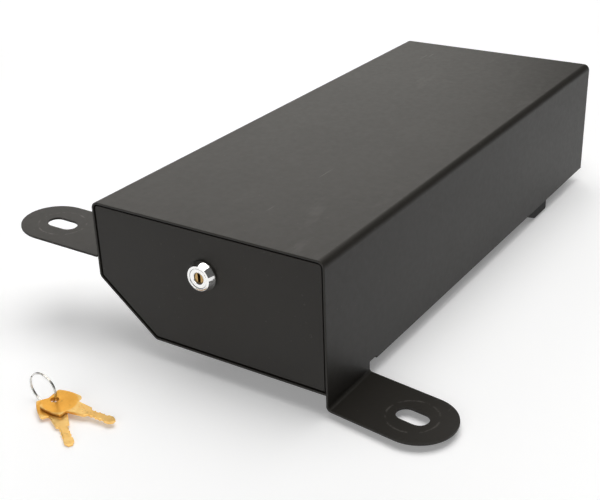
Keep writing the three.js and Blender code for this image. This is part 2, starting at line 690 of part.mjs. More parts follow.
function camScrew() {
  const under = CAM_BACK + CAM_WASHER + CONTACT;
  const top = under + SCREW_HEAD;
  const rim = under + SCREW_HEAD / 2;
  const body = turned(
    [
      [0, under - SCREW_LENGTH],
      [SCREW_RADIUS - SCREW_POINT, under - SCREW_LENGTH],
      [SCREW_RADIUS, under - SCREW_LENGTH + SCREW_POINT],
      [SCREW_RADIUS, under],
      [SCREW_HEAD_RADIUS, under],
      ...dome(SCREW_HEAD_RADIUS, rim, top - rim),
    ],
    20,
  );
  const half = RECESS_WIDTH / 2;
  const [low, high] = [top - RECESS_DEPTH, top + OVERRUN];
  const cross = [
    box([-RECESS_ARM, low, -half], [RECESS_ARM, high, half]),
    box([-half, low, -RECESS_ARM], [half, high, RECESS_ARM]),
  ];
  return cut(body, ...cross);
}

// ---- Keys ----
const HEAD_STEPS = 8;
// One side of a flat double-cut key, from its head to its tip. Each row is x, half the width there and
// the corner's radius. The key's hole is at the origin.
function keySide() {
  const end = -KEY_HOLE_INSET;
  const shoulder = end + KEY_HEAD_LENGTH;
  const shankEnd = shoulder + SHANK_LENGTH;
  const tip = shankEnd + BLADE_LENGTH;
  const [endHalf, shoulderHalf] = [KEY_END_WIDTH / 2, KEY_SHOULDER_WIDTH / 2];
  const bulge = KEY_HEAD_WIDTH - (endHalf + shoulderHalf) / 2;
  const curve = new THREE.QuadraticBezierCurve(
    point(end, endHalf),
    point((end + shoulder) / 2, bulge),
    point(shoulder, shoulderHalf),
  );
  const corner = (i) => (i % HEAD_STEPS ? 0 : KEY_ROUND);
  const head = curve.getPoints(HEAD_STEPS).map((p, i) => [p.x, p.y, corner(i)]);
  const shank = SHANK_WIDTH / 2;
  const blade = BLADE_WIDTH / 2;
  const cutStart = shankEnd + SHANK_STEP;
  const step = (tip - BLADE_POINT - cutStart) / (BLADE_CUT_DEPTHS.length + 1);
  const cuts = BLADE_CUT_DEPTHS.flatMap((depth, i) => {
    const x = cutStart + i * step;
    return [[x, blade, 0], [x + step / 4, blade - depth, 0], [x + (3 * step) / 4, blade - depth, 0]];
  });
  return [
    ...head,
    [shoulder, shank, KEY_ROUND],
    [shankEnd, shank - SHANK_TAPER, 0],
    ...cuts,
    [tip - BLADE_POINT - step, blade, 0],
    [tip - BLADE_POINT, blade, KEY_ROUND / 2],
    [tip, BLADE_TIP_WIDTH / 2, KEY_ROUND / 2],
  ];
}

function keyOutline() {
  const side = keySide();
  const rows = [...side.map(([x, y, radius]) => [x, -y, radius]), ...side.reverse()];
  const outline = roundedOutline(rows.map(([x, y]) => point(x, y)), rows.map((row) => row[2]));
  outline.holes.push(ringHole(KEY_HOLE_RADIUS));
  return outline;
}

function flatKey() {
  return upward(keyOutline(), -KEY / 2, KEY, 6);
}

// ---- Assembly ----
function piece(name, geometry, material) {
  const mesh = new THREE.Mesh(geometry, material);
  mesh.name = name;
  return mesh;
}

function placed(object, x, y, z) {
  object.position.set(x, y, z);
  return object;
}

function buildSleeve() {
  const group = new THREE.Group();
  const floorLeft = -RIGHT + CUT_ACROSS;
  const strike = roofAngle(0, FRONT + STRIKE_Y, STRIKE_WIDTH, STRIKE_DROP, STRIKE_FLANGE);
  group.add(
    piece("sleeve_shell", sleeveShell(), black()),
    piece("sleeve_rear_panel", rearPanel(), black()),
    piece("left_ear_bracket", leftEar(), black()),
    piece("rear_foot", rearFoot(), black()),
    piece("strike_plate", strike, black()),
    piece("floor_glide_left", floorGlide(floorLeft + GLIDE_SIDE), soft()),
    piece("floor_glide_right", floorGlide(RIGHT - GLIDE_SIDE), soft()),
  );
  for (const [name, side] of [["left", -1], ["right", 1]]) {
    const stop = roofAngle(side * STOP_X, FRONT + STOP_Y, STOP_WIDTH, STOP_DROP, STOP_FLANGE);
    group.add(piece("drawer_stop_" + name, stop, black()));
    const bumper = piece("rear_bumper_" + name, rearBumper(), soft());
    group.add(placed(bumper, side * STOP_X, REAR_PANEL_INNER - CONTACT, LOCK_HEIGHT));
  }
  return group;
}

function buildDrawer() {
  const group = new THREE.Group();
  group.add(
    piece("drawer_front_panel", drawerFront(), black()),
    piece("drawer_tray", drawerTray(), black()),
    piece("drawer_back", drawerBack(), black()),
    piece("drawer_liner", drawerLiner(), soft()),
  );
  rivetPlaces.forEach(({ side, z }, i) => {
    const one = piece("back_rivet_" + (i + 1), rivet(), zinc());
    one.rotation.z = (-side * Math.PI) / 2;
    group.add(placed(one, side * RIVET_FACE, RIVET_Y, z));
  });
  return group;
}

function buildLock() {
  const group = placed(new THREE.Group(), 0, PANEL_FRONT, LOCK_HEIGHT);
  group.add(
    piece("lock_housing", lockHousing(), chrome()),
    piece("lock_washer", lockWasher(), zinc()),
    piece("lock_nut", lockNut(), zinc()),
    piece("lock_plug", lockPlug(), chrome()),
    piece("plug_core", plugCore(), brass()),
    piece("cam", lockCam(), zinc()),
    piece("cam_washer", camWasher(), zinc()),
    piece("cam_screw", camScrew(), zinc()),
  );
  return group;
}

// The ring stands on the ground in an upright plane. Each key hangs on it at its own height.
function buildKeys() {
  const ringHeight = GROUND + RING_RADIUS + WIRE_RADIUS + CONTACT;
  const group = placed(new THREE.Group(), KEYS_X, FRONT - KEYS_FORWARD, ringHeight);
  const ring = new THREE.TorusGeometry(RING_RADIUS, WIRE_RADIUS, 8, 40).rotateX(Math.PI / 2);
  group.add(piece("key_ring", ring, zinc()));
  const lean = new THREE.Vector3(-Math.sin(KEYS_PITCH_HEADING), Math.cos(KEYS_PITCH_HEADING), 0);
  const pitched = new THREE.Group();
  const [, low] = KEY_RING_ANGLES;
  pitched.position.set(RING_RADIUS * Math.sin(low), 0, -RING_RADIUS * Math.cos(low));
  pitched.setRotationFromAxisAngle(lean, KEYS_PITCH);
  KEY_RING_ANGLES.forEach((angle, i) => {
    const key = piece("key_" + (i + 1), flatKey(), brass());
    const along = RING_RADIUS * (Math.sin(angle) - Math.sin(low));
    placed(key, along, 0, i === 0 ? KEY + KEY_LAY : 0);
    key.rotation.z = KEY_HEADINGS[i];
    pitched.add(key);
  });
  group.add(pitched);
  return group;
}

const lockBox = new THREE.Group();
lockBox.add(buildSleeve(), buildDrawer(), buildLock(), buildKeys());

export default lockBox;
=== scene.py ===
import json
import math

import bmesh
import bpy
from mathutils import Matrix, Vector
from mathutils.geometry import tessellate_polygon


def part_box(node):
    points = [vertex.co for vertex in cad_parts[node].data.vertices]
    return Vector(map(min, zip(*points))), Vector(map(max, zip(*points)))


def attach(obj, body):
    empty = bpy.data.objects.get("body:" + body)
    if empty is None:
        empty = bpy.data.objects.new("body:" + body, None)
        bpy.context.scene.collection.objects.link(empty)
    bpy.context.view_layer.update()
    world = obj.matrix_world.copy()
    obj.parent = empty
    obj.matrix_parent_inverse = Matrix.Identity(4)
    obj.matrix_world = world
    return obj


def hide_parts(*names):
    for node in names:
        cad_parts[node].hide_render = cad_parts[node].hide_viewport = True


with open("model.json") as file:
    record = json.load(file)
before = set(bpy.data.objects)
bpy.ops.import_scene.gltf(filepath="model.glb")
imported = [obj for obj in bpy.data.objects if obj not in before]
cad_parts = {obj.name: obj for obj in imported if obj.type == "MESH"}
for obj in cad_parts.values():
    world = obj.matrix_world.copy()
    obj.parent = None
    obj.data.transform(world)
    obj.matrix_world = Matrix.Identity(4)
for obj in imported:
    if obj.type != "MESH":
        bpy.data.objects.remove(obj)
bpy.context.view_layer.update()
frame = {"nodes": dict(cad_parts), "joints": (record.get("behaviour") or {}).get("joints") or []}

# Looks of an under-seat lock box: fine folded-steel shapes round the frame, their finishes, the camera
# and the studio. Metres. +X is the right of the front, +Y goes in from the front, +Z is up.
MM = 0.001

# ---- Places from the frame ----
RIGHT = -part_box("sleeve_shell")[0].x
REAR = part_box("sleeve_shell")[1].y
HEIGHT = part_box("sleeve_shell")[1].z
FRONT = -REAR
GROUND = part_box("rear_foot")[0].z
PANEL_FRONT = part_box("drawer_front_panel")[0].y
JOINTS = {joint["name"]: joint for joint in frame["joints"]}
LOCK_AXIS = Vector(JOINTS["lock_turn"]["pos_m"])
LOCK_CENTRE = Vector((LOCK_AXIS.x, LOCK_AXIS.z))  # the lock's axis in an outline of X and Z
LOCK_ORIGIN = Vector((LOCK_AXIS.x, PANEL_FRONT, LOCK_AXIS.z))  # where it meets the drawer front
KEY_PLANE = Vector(JOINTS["key_1_swing"]["axis"])  # square to the flat of the keys

# ---- Meshes ----
ARC_STEPS = 10
SMALL_ARC_STEPS = 5
SLOT_ARC_STEPS = 20
END_ARC_STEPS = 48  # the half circle at the end of a tab
FLATTED_ARC_STEPS = 24  # each round side of the lock's hole
TURNED_STEPS = 96
BUMPER_STEPS = 48
EDGE_PROFILE = ((1, 0), (0.293, 0.293), (0, 1))  # inset and height of a rounded edge, in edges
SMOOTH_ANGLE = math.radians(32)
MERGE = 1e-7
BOOLEAN_MERGE = 1e-6
TOOL_EDGE = 0.01 * MM  # rounding of solids that only cut
OVERRUN = 1 * MM  # how far a cutting or joining solid runs past the surface that it meets

# ---- Sheet metal ----
SHEET = 1.5 * MM
CONTACT = 0.3 * MM
EDGE = 0.22 * MM  # rounding of cut sheet edges
BEND = 5 * MM
LEAST_BEND = 1 * MM
CUT_ACROSS = 44 * MM
CUT_UP = 36 * MM
SKIRT = 4.6 * MM
RELIEF_LENGTH = 9 * MM
RELIEF_HEIGHT = 1.8 * MM
RELIEF_ROUND = 0.6 * MM

# ---- Bolt tabs ----
TAB_WIDTH = 50 * MM
TAB_SWEEP = math.radians(6.5)
TAB_SPAN = TAB_WIDTH / math.cos(TAB_SWEEP)
TAB_REACH = 72.5 * MM
TAB_DROP = 9.5 * MM
TAB_BEND = 2 * MM
SLOT_LENGTH = 22 * MM
SLOT_WIDTH = 12.7 * MM
TAB_SLOT_OUT = 44 * MM
EAR_REACH = 76.5 * MM
EAR_HEIGHT = 50.9 * MM
EAR_RISE = math.radians(4.9)
EAR_SLOT_OUT = 47.5 * MM
EAR_SETBACK = 7 * MM
EAR_BEND = 2.5 * MM
EAR_LAP = 12 * MM  # how far the flange's top leg runs out under the ear

# ---- Foot, rear panel and inner angles ----
FOOT_FRONT_DEPTH = 5.2 * MM
FOOT_BASE = 20 * MM
REAR_FLANGE = 12 * MM
PANEL_GAP = 1 * MM
PANEL_EDGE = 0.3 * MM

# ---- Bumpers and glides ----
BUMPER_DOME = 4 * MM
BUMPER_GROOVE = 0.5 * MM
BUMPER_FOOT_ROUND = 0.2 * MM
GLIDE_CORNER = 3 * MM
GLIDE_EDGE = 0.3 * MM

# ---- Drawer ----
TRAY_SHEET = 1.2 * MM
TRAY_BEND = 3 * MM
TRAY_SIDE_GAP = 2 * MM
TRAY_LIP = 7 * MM
TRAY_EDGE = 0.18 * MM
BACK_RISE = 4.4 * MM
RISER_LAP = 3 * MM  # how far the riser runs down over the back
RISER_CORNER = 2 * MM
RIVETS = [f"back_rivet_{i}" for i in range(1, 5)]
RIVET_HOLE_RADIUS = 1.9 * MM
MAT_CORNER = 5 * MM
MAT_EDGE = 1.1 * MM
MAT_EDGE_ROWS = (0, 0.08, 0.3, 0.62, 1)  # rows across the crushed edge, as shares of it
MAT_SPACING = 5 * MM
MAT_WAVE = 0.14 * MM
MAT_WAVES = Vector((95, 61))  # radians a metre, across and along

# ---- Lock ----
COLLAR_PROUD = 5.8 * MM
COLLAR_RADIUS = 10.1 * MM
COLLAR_FACE_RADIUS = 8.4 * MM
COLLAR_EDGE = 1.4 * MM
COLLAR_SOFT = 0.3 * MM  # rounding of the collar's edges
BARREL_RADIUS = 8 * MM
BARREL_FLAT = 7.2 * MM
BORE_RADIUS = 6.6 * MM
THREAD_PITCH = 1 * MM
THREAD_DEPTH = 0.3 * MM
THREAD_START = 2 * MM  # behind the drawer front
THREAD_END = 2.5 * MM  # short of the barrel's rear end
PLUG_RADIUS = 6.45 * MM
PLUG_RECESS = 0.2 * MM
PLUG_SOFT = 0.25 * MM  # rounding of the plug's edges
KEYHOLE_RADIUS = 3.7 * MM
KEYHOLE_DEPTH = 18 * MM
CORE_RADIUS = 3.4 * MM
KEY_SLOT_WIDTH = 2.2 * MM
KEY_SLOT_HEIGHT = 6.2 * MM
KEY_SLOT_DEPTH = 15 * MM
TAIL = 7 * MM
TAIL_ROUND = 0.4 * MM
SCREW_RADIUS = 2 * MM
SCREW_LENGTH = 8 * MM

# ---- Keys ----
KEY = 1.8 * MM
KEY_EDGE = 0.2 * MM
KEY_HEAD_LENGTH = 17.7 * MM
KEY_HEAD_WIDTH = 22 * MM
KEY_END_WIDTH = 19 * MM
KEY_SHOULDER_WIDTH = 20.8 * MM
KEY_ROUND = 1.4 * MM
HEAD_STEPS = 16
KEY_HOLE_RADIUS = 2.7 * MM
KEY_HOLE_INSET = 4.6 * MM
SHANK_LENGTH = 12.4 * MM
SHANK_WIDTH = 11.4 * MM
SHANK_TAPER = 1.5 * MM
SHANK_STEP = 0.8 * MM
SHANK_ROUND = 0.6 * MM
BLADE_LENGTH = 19.9 * MM
BLADE_WIDTH = 6 * MM
BLADE_POINT = 2.6 * MM
BLADE_TIP_WIDTH = 2.6 * MM
BLADE_ROUND = 0.3 * MM
BLADE_CUT_DEPTHS = [0.8 * MM, 1 * MM, 0.6 * MM, 0.9 * MM]
KEY_HEADINGS = {"key_1": math.radians(5), "key_2": math.radians(-33)}
RING_RADIUS = 10.6 * MM
WIRE_HEIGHT = 0.36 * MM  # half the height of one coil of the split ring
WIRE_WIDTH = 0.62 * MM  # half its width
WIRE_SIDES = 14
WIRE_SQUARENESS = 0.7  # 1 is an ellipse, and less is squarer
COIL_SPACING = 1.04  # from the ring's middle to each coil's, in half heights
RING_STEPS = 180
RING_START = 0.8 * math.pi
CROSSING_SHARPNESS = 9  # the two turns change sides over 2/9 of the wire

# ---- Coat ----
COAT_SHADES = ((0.0145, 0.013, 0.0108), (0.0178, 0.0162, 0.0138))
COAT_SPECK = (0.07, 0.067, 0.062)
COAT_RUB = (0.06, 0.058, 0.054)
COAT_SCRATCH = (0.13, 0.127, 0.12)
WASHER_MARK = (0.11, 0.105, 0.098)
WASHER_MARK_RADIUS = 16.4 * MM
WASHER_MARK_WIDTH = 0.9 * MM  # half the width of the mark's ring

# ---- Brass ----
HEAD_BRASS = ((0.84, 0.40, 0.06), (0.97, 0.52, 0.095))
BRASS_STAIN = (0.42, 0.19, 0.04)
HEAD_FADE = (10.4 * MM, 11.8 * MM)  # from the middle of a key's head, where its deeper tone ends

# ---- Camera ----
CAMERA_PLACE = Vector((0.37962, -0.66820, 0.36355))
CAMERA_AZIMUTH = math.radians(34.08)
CAMERA_ELEVATION = math.radians(26.19)
CAMERA_ROLL = math.radians(-2.12)
CAMERA_LENS = 64.81
CAMERA_SENSOR = 36

# ---- Studio ----
LIGHT_COLOUR = (1, 0.972, 0.928)
STAGE_SIZE = 14
FLOOR_DROP = 0.05 * MM  # keeps the floor's face off the foot's
FLOOR_NEAR = 0.7  # from here outwards the floor makes up for light that falls off
FLOOR_FAR = 3.5
FLOOR_GLOW = 0.2
FAR_GLOW = 0.8
BACKDROP_GLOW = 0.9
WORLD_STRENGTH = 0.11
LIGHTS = {  # place, target, size and power
    "back_left": ((-1.3, 1.5, 1.1), (0, 0, 0.05), (1.8, 1.2), 13),
    "overhead": ((0.1, 0.1, 1.9), (0, 0, 0), (1.8, 1.8), 32.5),
    "front_fill": ((0.3, -2.0, 0.8), (0, -0.2, 0.05), (1.2, 0.9), 8.5),
}


# ---- Outlines: lists of 2-D points with the material on their left ----
def offset(points, distance, closed=True):
    """Moves an outline to its left."""
    moved = []
    count = len(points)
    for i, p in enumerate(points):
        before = (p - points[i - 1]).normalized() if closed or i else None
        after = (points[(i + 1) % count] - p).normalized() if closed or i < count - 1 else None
        first = before or after
        second = after or before
        normals = [Vector((-d.y, d.x)) for d in (first, second)]
        total = normals[0] + normals[1]
        moved.append(p + total * (distance / (1 + normals[0].dot(normals[1]))))
    return moved


def arc(centre, radius, start, end, steps=ARC_STEPS):
    """Points from one angle to another round a centre."""
    angles = [start + (end - start) * i / steps for i in range(steps + 1)]
    return [Vector((centre[0] + radius * math.cos(a), centre[1] + radius * math.sin(a))) for a in angles]


def rounded(points, radii, steps=ARC_STEPS):
    """A closed outline whose corner i is rounded to radii[i]."""
    outline = []
    for i, corner in enumerate(points):
        radius = radii[i]
        if radius < 1e-6:
            outline.append(corner.copy())
            continue
        before = (points[i - 1] - corner).normalized()
        after = (points[(i + 1) % len(points)] - corner).normalized()
        half = before.angle(after) / 2
        centre = corner + (before + after).normalized() * (radius / math.sin(half))
        start = corner + before * (radius / math.tan(half)) - centre
        end = corner + after * (radius / math.tan(half)) - centre
        first = math.atan2(start.y, start.x)
        turn = math.atan2(start.x * end.y - start.y * end.x, start.dot(end))
        outline += arc(centre, radius, first, first + turn, steps)
    return outline


def circle(radius, steps):
    return arc((0, 0), radius, 0, 2 * math.pi, steps)[:-1]


def shifted(points, shift):
    return [p + shift for p in points]


def hole(points):
    """An outline turned round, so that the material is outside it."""
    return list(reversed(points))


def corners(*pairs):
    return [Vector(pair) for pair in pairs]


def rectangle(left, bottom, right, top):
    return corners((left, bottom), (right, bottom), (right, top), (left, top))


def strip(path, thickness, bend):
    """A sheet of constant thickness that follows an open path of corners, to the path's left."""
    inner = offset(path, thickness, closed=False)
    turns = [0.0]
    for i in range(1, len(path) - 1):
        first, second = path[i] - path[i - 1], path[i + 1] - path[i]
        turns.append(first.x * second.y - first.y * second.x)
    turns.append(0.0)
    outer_radii = [0 if not t else (bend if t > 0 else bend - thickness) for t in turns]
    inner_radii = [0 if not t else (bend - thickness if t > 0 else bend) for t in turns]
    return rounded(path + inner[::-1], outer_radii + inner_radii[::-1])


def sleeve_corners():
    """The five outer corners of the sleeve's section, in X and Z."""
    return corners(
        (RIGHT, 0), (RIGHT, HEIGHT), (-RIGHT, HEIGHT), (-RIGHT, CUT_UP), (-RIGHT + CUT_ACROSS, 0)
    )


def section(inset):
    """The sleeve's five-sided section, moved in from its outer face."""
    radius = max(BEND - inset, LEAST_BEND)
    return rounded(offset(sleeve_corners(), inset), [0, radius, radius, radius, radius])


# ---- Meshes ----
ALONG_Y = Matrix(((1, 0, 0), (0, 0, 1), (0, 1, 0))).to_4x4()  # outline in X and Z, drawn along Y
ALONG_X = Matrix(((0, 0, 1), (1, 0, 0), (0, 1, 0))).to_4x4()  # outline in Y and Z, drawn along X
UPWARD = Matrix.Identity(4)  # outline in X and Y, drawn along Z


def new_object(name, bm):
    """Turns a finished bmesh into an object in the scene."""
    bmesh.ops.remove_doubles(bm, verts=bm.verts, dist=MERGE)
    bmesh.ops.recalc_face_normals(bm, faces=bm.faces)
    mesh = bpy.data.meshes.new(name)
    bm.to_mesh(mesh)
    bm.free()
    piece = bpy.data.objects.new(name, mesh)
    bpy.context.scene.collection.objects.link(piece)
    return piece


def prism(name, outer, holes, low, high, axes=ALONG_Y, edge=EDGE):
    """A closed plate between two heights, with rounded edges all round and round its holes."""
    loops = [outer, *holes]
    rows = [(inset * edge, low + rise * edge) for inset, rise in EDGE_PROFILE]
    rows += [(inset * edge, high - rise * edge) for inset, rise in reversed(EDGE_PROFILE)]
    bm = bmesh.new()
    rings = []
    for inset, height in rows:
        moved = [offset(loop, inset) for loop in loops]
        rings.append([[bm.verts.new(axes @ Vector((p.x, p.y, height))) for p in loop] for loop in moved])
    for lower, upper in zip(rings, rings[1:]):
        for below, above in zip(lower, upper):
            for i in range(len(below)):
                bm.faces.new((below[i - 1], below[i], above[i], above[i - 1]))
    for ring, flip in ((rings[0], True), (rings[-1], False)):
        flat = [[Vector((p.x, p.y, 0)) for p in offset(loop, edge)] for loop in loops]
        verts = [v for loop in ring for v in loop]
        if len(loops) == 1:
            bm.faces.new(verts[::-1] if flip else verts)
            continue
        for triangle in tessellate_polygon(flat):
            bm.faces.new([verts[i] for i in triangle])
    return new_object(name, bm)


def lathe(name, profile, origin, segments, flat=None):
    """A profile of (radius, y) turned about the Y axis through origin. It ends on the axis or closes.

    With flat, what lies behind the origin has two flat sides at that distance from the axis.
    """
    bm = bmesh.new()
    closed = profile[0] == profile[-1]
    rows = profile[:-1] if closed else profile
    rings = []
    for radius, y in rows:
        ring = []
        for i in range(segments):
            angle = 2 * math.pi * i / segments
            x = radius * math.cos(angle)
            if flat and y > 0:
                x = max(-flat, min(flat, x))
            ring.append(bm.verts.new(origin + Vector((x, y, radius * math.sin(angle)))))
        rings.append(ring)
    pairs = list(zip(rings, rings[1:])) + ([(rings[-1], rings[0])] if closed else [])
    for lower, upper in pairs:
        for i in range(segments):
            bm.faces.new((lower[i - 1], lower[i], upper[i], upper[i - 1]))
    bmesh.ops.dissolve_degenerate(bm, edges=bm.edges, dist=MERGE)
    return new_object(name, bm)


def combine(name, first, others, operation="UNION"):
    """Joins solids into one closed mesh, or cuts the others from the first."""
    for other in others:
        step = first.modifiers.new("join", "BOOLEAN")
        step.operation = operation
        step.solver = "EXACT"
        step.object = other
    graph = bpy.context.evaluated_depsgraph_get()
    mesh = bpy.data.meshes.new_from_object(first.evaluated_get(graph))
    for used in (first, *others):
        bpy.data.objects.remove(used)
    bm = bmesh.new()
    bm.from_mesh(mesh)
    bmesh.ops.remove_doubles(bm, verts=bm.verts, dist=BOOLEAN_MERGE)
    bmesh.ops.dissolve_degenerate(bm, edges=bm.edges, dist=BOOLEAN_MERGE)
    return new_object(name, bm)


def dress(piece, body, material, node):
    """Finishes a piece's shading, gives it its material, and hangs it on its body in a CAD node's place."""
    bm = bmesh.new()
    bm.from_mesh(piece.data)
    for face in bm.faces:
        face.smooth = True
    for edge in bm.edges:
        edge.smooth = len(edge.link_faces) == 2 and edge.calc_face_angle(math.pi) < SMOOTH_ANGLE
    bm.to_mesh(piece.data)
    bm.free()
    weighted = piece.modifiers.new("even", "WEIGHTED_NORMAL")
    weighted.keep_sharp = True
    piece.data.materials.clear()
    piece.data.materials.append(material)
    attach(piece, body)
    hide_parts(node)
    return piece


# ---- Materials ----
class Tree:
    """A material's nodes, with short calls for the ones that are used here."""

    def __init__(self, name):
        self.material = bpy.data.materials.new(name)
        self.material.use_nodes = True
        self.nodes = self.material.node_tree.nodes
        self.links = self.material.node_tree.links
        self.shader = self.nodes["Principled BSDF"]
        self.place = self.nodes.new("ShaderNodeTexCoord").outputs["Object"]

    def set(self, **values):
        for name, value in values.items():
            self.shader.inputs[name.replace("_", " ")].default_value = value

    def link(self, output, name):
        self.links.new(output, self.shader.inputs[name])

    def stretched(self, scale):
        node = self.nodes.new("ShaderNodeMapping")
        node.inputs["Scale"].default_value = scale
        self.links.new(self.place, node.inputs["Vector"])
        return node.outputs["Vector"]

    def noise(self, scale, detail, rough=0.5, stretch=(1, 1, 1)):
        node = self.nodes.new("ShaderNodeTexNoise")
        node.inputs["Scale"].default_value = scale
        node.inputs["Detail"].default_value = detail
        node.inputs["Roughness"].default_value = rough
        self.links.new(self.stretched(stretch), node.inputs["Vector"])
        return node.outputs["Fac"]

    def cells(self, scale):
        node = self.nodes.new("ShaderNodeTexVoronoi")
        node.inputs["Scale"].default_value = scale
        self.links.new(self.place, node.inputs["Vector"])
        return node.outputs["Distance"]

    def remap(self, value, low, high, to_low=0.0, to_high=1.0):
        node = self.nodes.new("ShaderNodeMapRange")
        node.clamp = True
        for name, number in zip(("From Min", "From Max", "To Min", "To Max"), (low, high, to_low, to_high)):
            node.inputs[name].default_value = number
        self.links.new(value, node.inputs["Value"])
        return node.outputs["Result"]

    def math(self, operation, a, b):
        node = self.nodes.new("ShaderNodeMath")
        node.operation = operation
        for socket, value in zip(node.inputs, (a, b)):
            if isinstance(value, (int, float)):
                socket.default_value = value
            else:
                self.links.new(value, socket)
        return node.outputs["Value"]

    def mix(self, factor, a, b):
        node = self.nodes.new("ShaderNodeMix")
        node.data_type = "RGBA"
        self.links.new(factor, node.inputs[0])
        for socket, value in ((node.inputs[6], a), (node.inputs[7], b)):
            if isinstance(value, tuple):
                socket.default_value = (*value, 1)
            else:
                self.links.new(value, socket)
        return node.outputs[2]

    def bump(self, height, distance, strength, under=None):
        node = self.nodes.new("ShaderNodeBump")
        node.inputs["Distance"].default_value = distance
        node.inputs["Strength"].default_value = strength
        self.links.new(height, node.inputs["Height"])
        if under:
            self.links.new(under, node.inputs["Normal"])
        return node.outputs["Normal"]

    def facing_up(self):
        normal = self.nodes.new("ShaderNodeNewGeometry").outputs["Normal"]
        parts = self.nodes.new("ShaderNodeSeparateXYZ")
        self.links.new(normal, parts.inputs[0])
        return self.remap(parts.outputs["Z"], 0.7, 0.95)

    def distance_to(self, point):
        node = self.nodes.new("ShaderNodeVectorMath")
        node.operation = "DISTANCE"
        node.inputs[1].default_value = point
        self.links.new(self.place, node.inputs[0])
        return node.outputs["Value"]

    def band(self, value, middle, half):
        """1 at the middle of a band, falling to 0 at its two sides."""
        away = self.math("ABSOLUTE", self.math("SUBTRACT", value, middle), 0)
        return self.remap(away, 0, half, 1, 0)


def powder_coat(name, dark=1.0, gloss=0.28, witness=()):
    """Satin black powder coat: a fine grain, light rubs and scratches, and washer marks at bolt slots."""
    tree = Tree(name)
    tone = tree.remap(tree.noise(14, 3), 0.3, 0.7)
    # dark below 1 makes a darker copy of the coat, used as painted shade
    shades = [tuple(c * dark for c in shade) for shade in COAT_SHADES]
    colour = tree.mix(tone, *shades)
    specks = tree.math("MULTIPLY", tree.remap(tree.noise(420, 1), 0.72, 0.8), 0.3)
    colour = tree.mix(specks, colour, COAT_SPECK)
    spread = tree.math("MULTIPLY", tree.remap(tree.noise(7, 2), 0.5, 0.64), tree.facing_up())
    rubs = tree.remap(tree.noise(46, 6, 0.62, (1, 0.35, 1)), 0.6, 0.8)
    rub = tree.math("MULTIPLY", tree.math("MULTIPLY", rubs, spread), 0.6)
    colour = tree.mix(rub, colour, COAT_RUB)
    scratches = tree.remap(tree.noise(330, 2, 0.5, (1, 0.06, 1)), 0.7, 0.76)
    short = tree.remap(tree.noise(30, 2), 0.52, 0.6)
    scratch = tree.math("MULTIPLY", tree.math("MULTIPLY", scratches, short), spread)
    colour = tree.mix(scratch, colour, COAT_SCRATCH)
    for place in witness:
        ring = tree.band(tree.distance_to(place), WASHER_MARK_RADIUS, WASHER_MARK_WIDTH)
        broken = tree.remap(tree.noise(130, 4, 0.7), 0.45, 0.6)
        mark = tree.math("MULTIPLY", tree.math("MULTIPLY", ring, broken), 0.6)
        colour = tree.mix(mark, colour, WASHER_MARK)
    tree.link(colour, "Base Color")
    rough = tree.remap(tree.noise(240, 3), 0.3, 0.7, 0.45, 0.49)
    tree.link(tree.math("SUBTRACT", rough, tree.math("MULTIPLY", rub, 0.06)), "Roughness")
    peel = tree.bump(tree.noise(700, 2, 0.5), 0.02 * MM, 0.6)
    grain = tree.bump(tree.noise(2600, 2, 0.6), 0.012 * MM, 0.5, peel)
    tree.link(grain, "Normal")
    tree.set(Specular_IOR_Level=gloss)
    return tree.material


def chrome():
    """Polished chrome plate with faint wiping marks."""
    tree = Tree("lock_chrome")
    tree.set(Metallic=1.0)
    haze = tree.remap(tree.noise(160, 4), 0.4, 0.7)
    tree.link(tree.mix(haze, (0.95, 0.95, 0.94), (0.88, 0.88, 0.87)), "Base Color")
    tree.link(tree.remap(tree.noise(520, 3), 0.3, 0.7, 0.05, 0.13), "Roughness")
    tree.link(tree.bump(tree.noise(1800, 2, 0.5, (1, 1, 6)), 0.002 * MM, 0.4), "Normal")
    return tree.material


def brass(name, light, dark, head=None):
    """Stamped brass: warm tone changes, rolling lines and dull spots, with a deeper, rougher head."""
    tree = Tree(name)
    tree.set(Metallic=1.0)
    tone = tree.remap(tree.noise(140, 5, 0.6), 0.3, 0.7)
    colour = tree.mix(tone, dark, light)
    rough = tree.remap(tree.noise(420, 4), 0.3, 0.7, 0.26, 0.4)
    if head:
        reach = tree.remap(tree.distance_to(head), *HEAD_FADE, 1, 0)
        deep = tree.mix(tone, *HEAD_BRASS)
        colour = tree.mix(reach, colour, deep)
        rough = tree.math("ADD", rough, tree.math("MULTIPLY", reach, 0.08))
    stain = tree.math("MULTIPLY", tree.remap(tree.noise(330, 4), 0.6, 0.78), 0.45)
    tree.link(tree.mix(stain, colour, BRASS_STAIN), "Base Color")
    tree.link(rough, "Roughness")
    lines = tree.bump(tree.noise(1500, 3, 0.6, (1, 0.12, 1)), 0.006 * MM, 0.5)
    tree.link(tree.bump(tree.noise(900, 3), 0.01 * MM, 0.4, lines), "Normal")
    return tree.material


def plated(name, light, dark, rough):
    """Zinc or nickel plate on steel: soft spangle, fine scratches."""
    tree = Tree(name)
    tree.set(Metallic=1.0)
    spangle = tree.remap(tree.cells(500), 0.1, 0.6)
    tree.link(tree.mix(spangle, dark, light), "Base Color")
    tree.link(tree.remap(tree.noise(700, 3), 0.3, 0.7, rough - 0.07, rough + 0.07), "Roughness")
    tree.link(tree.bump(tree.noise(1600, 3, 0.6, (1, 0.2, 1)), 0.005 * MM, 0.4), "Normal")
    return tree.material


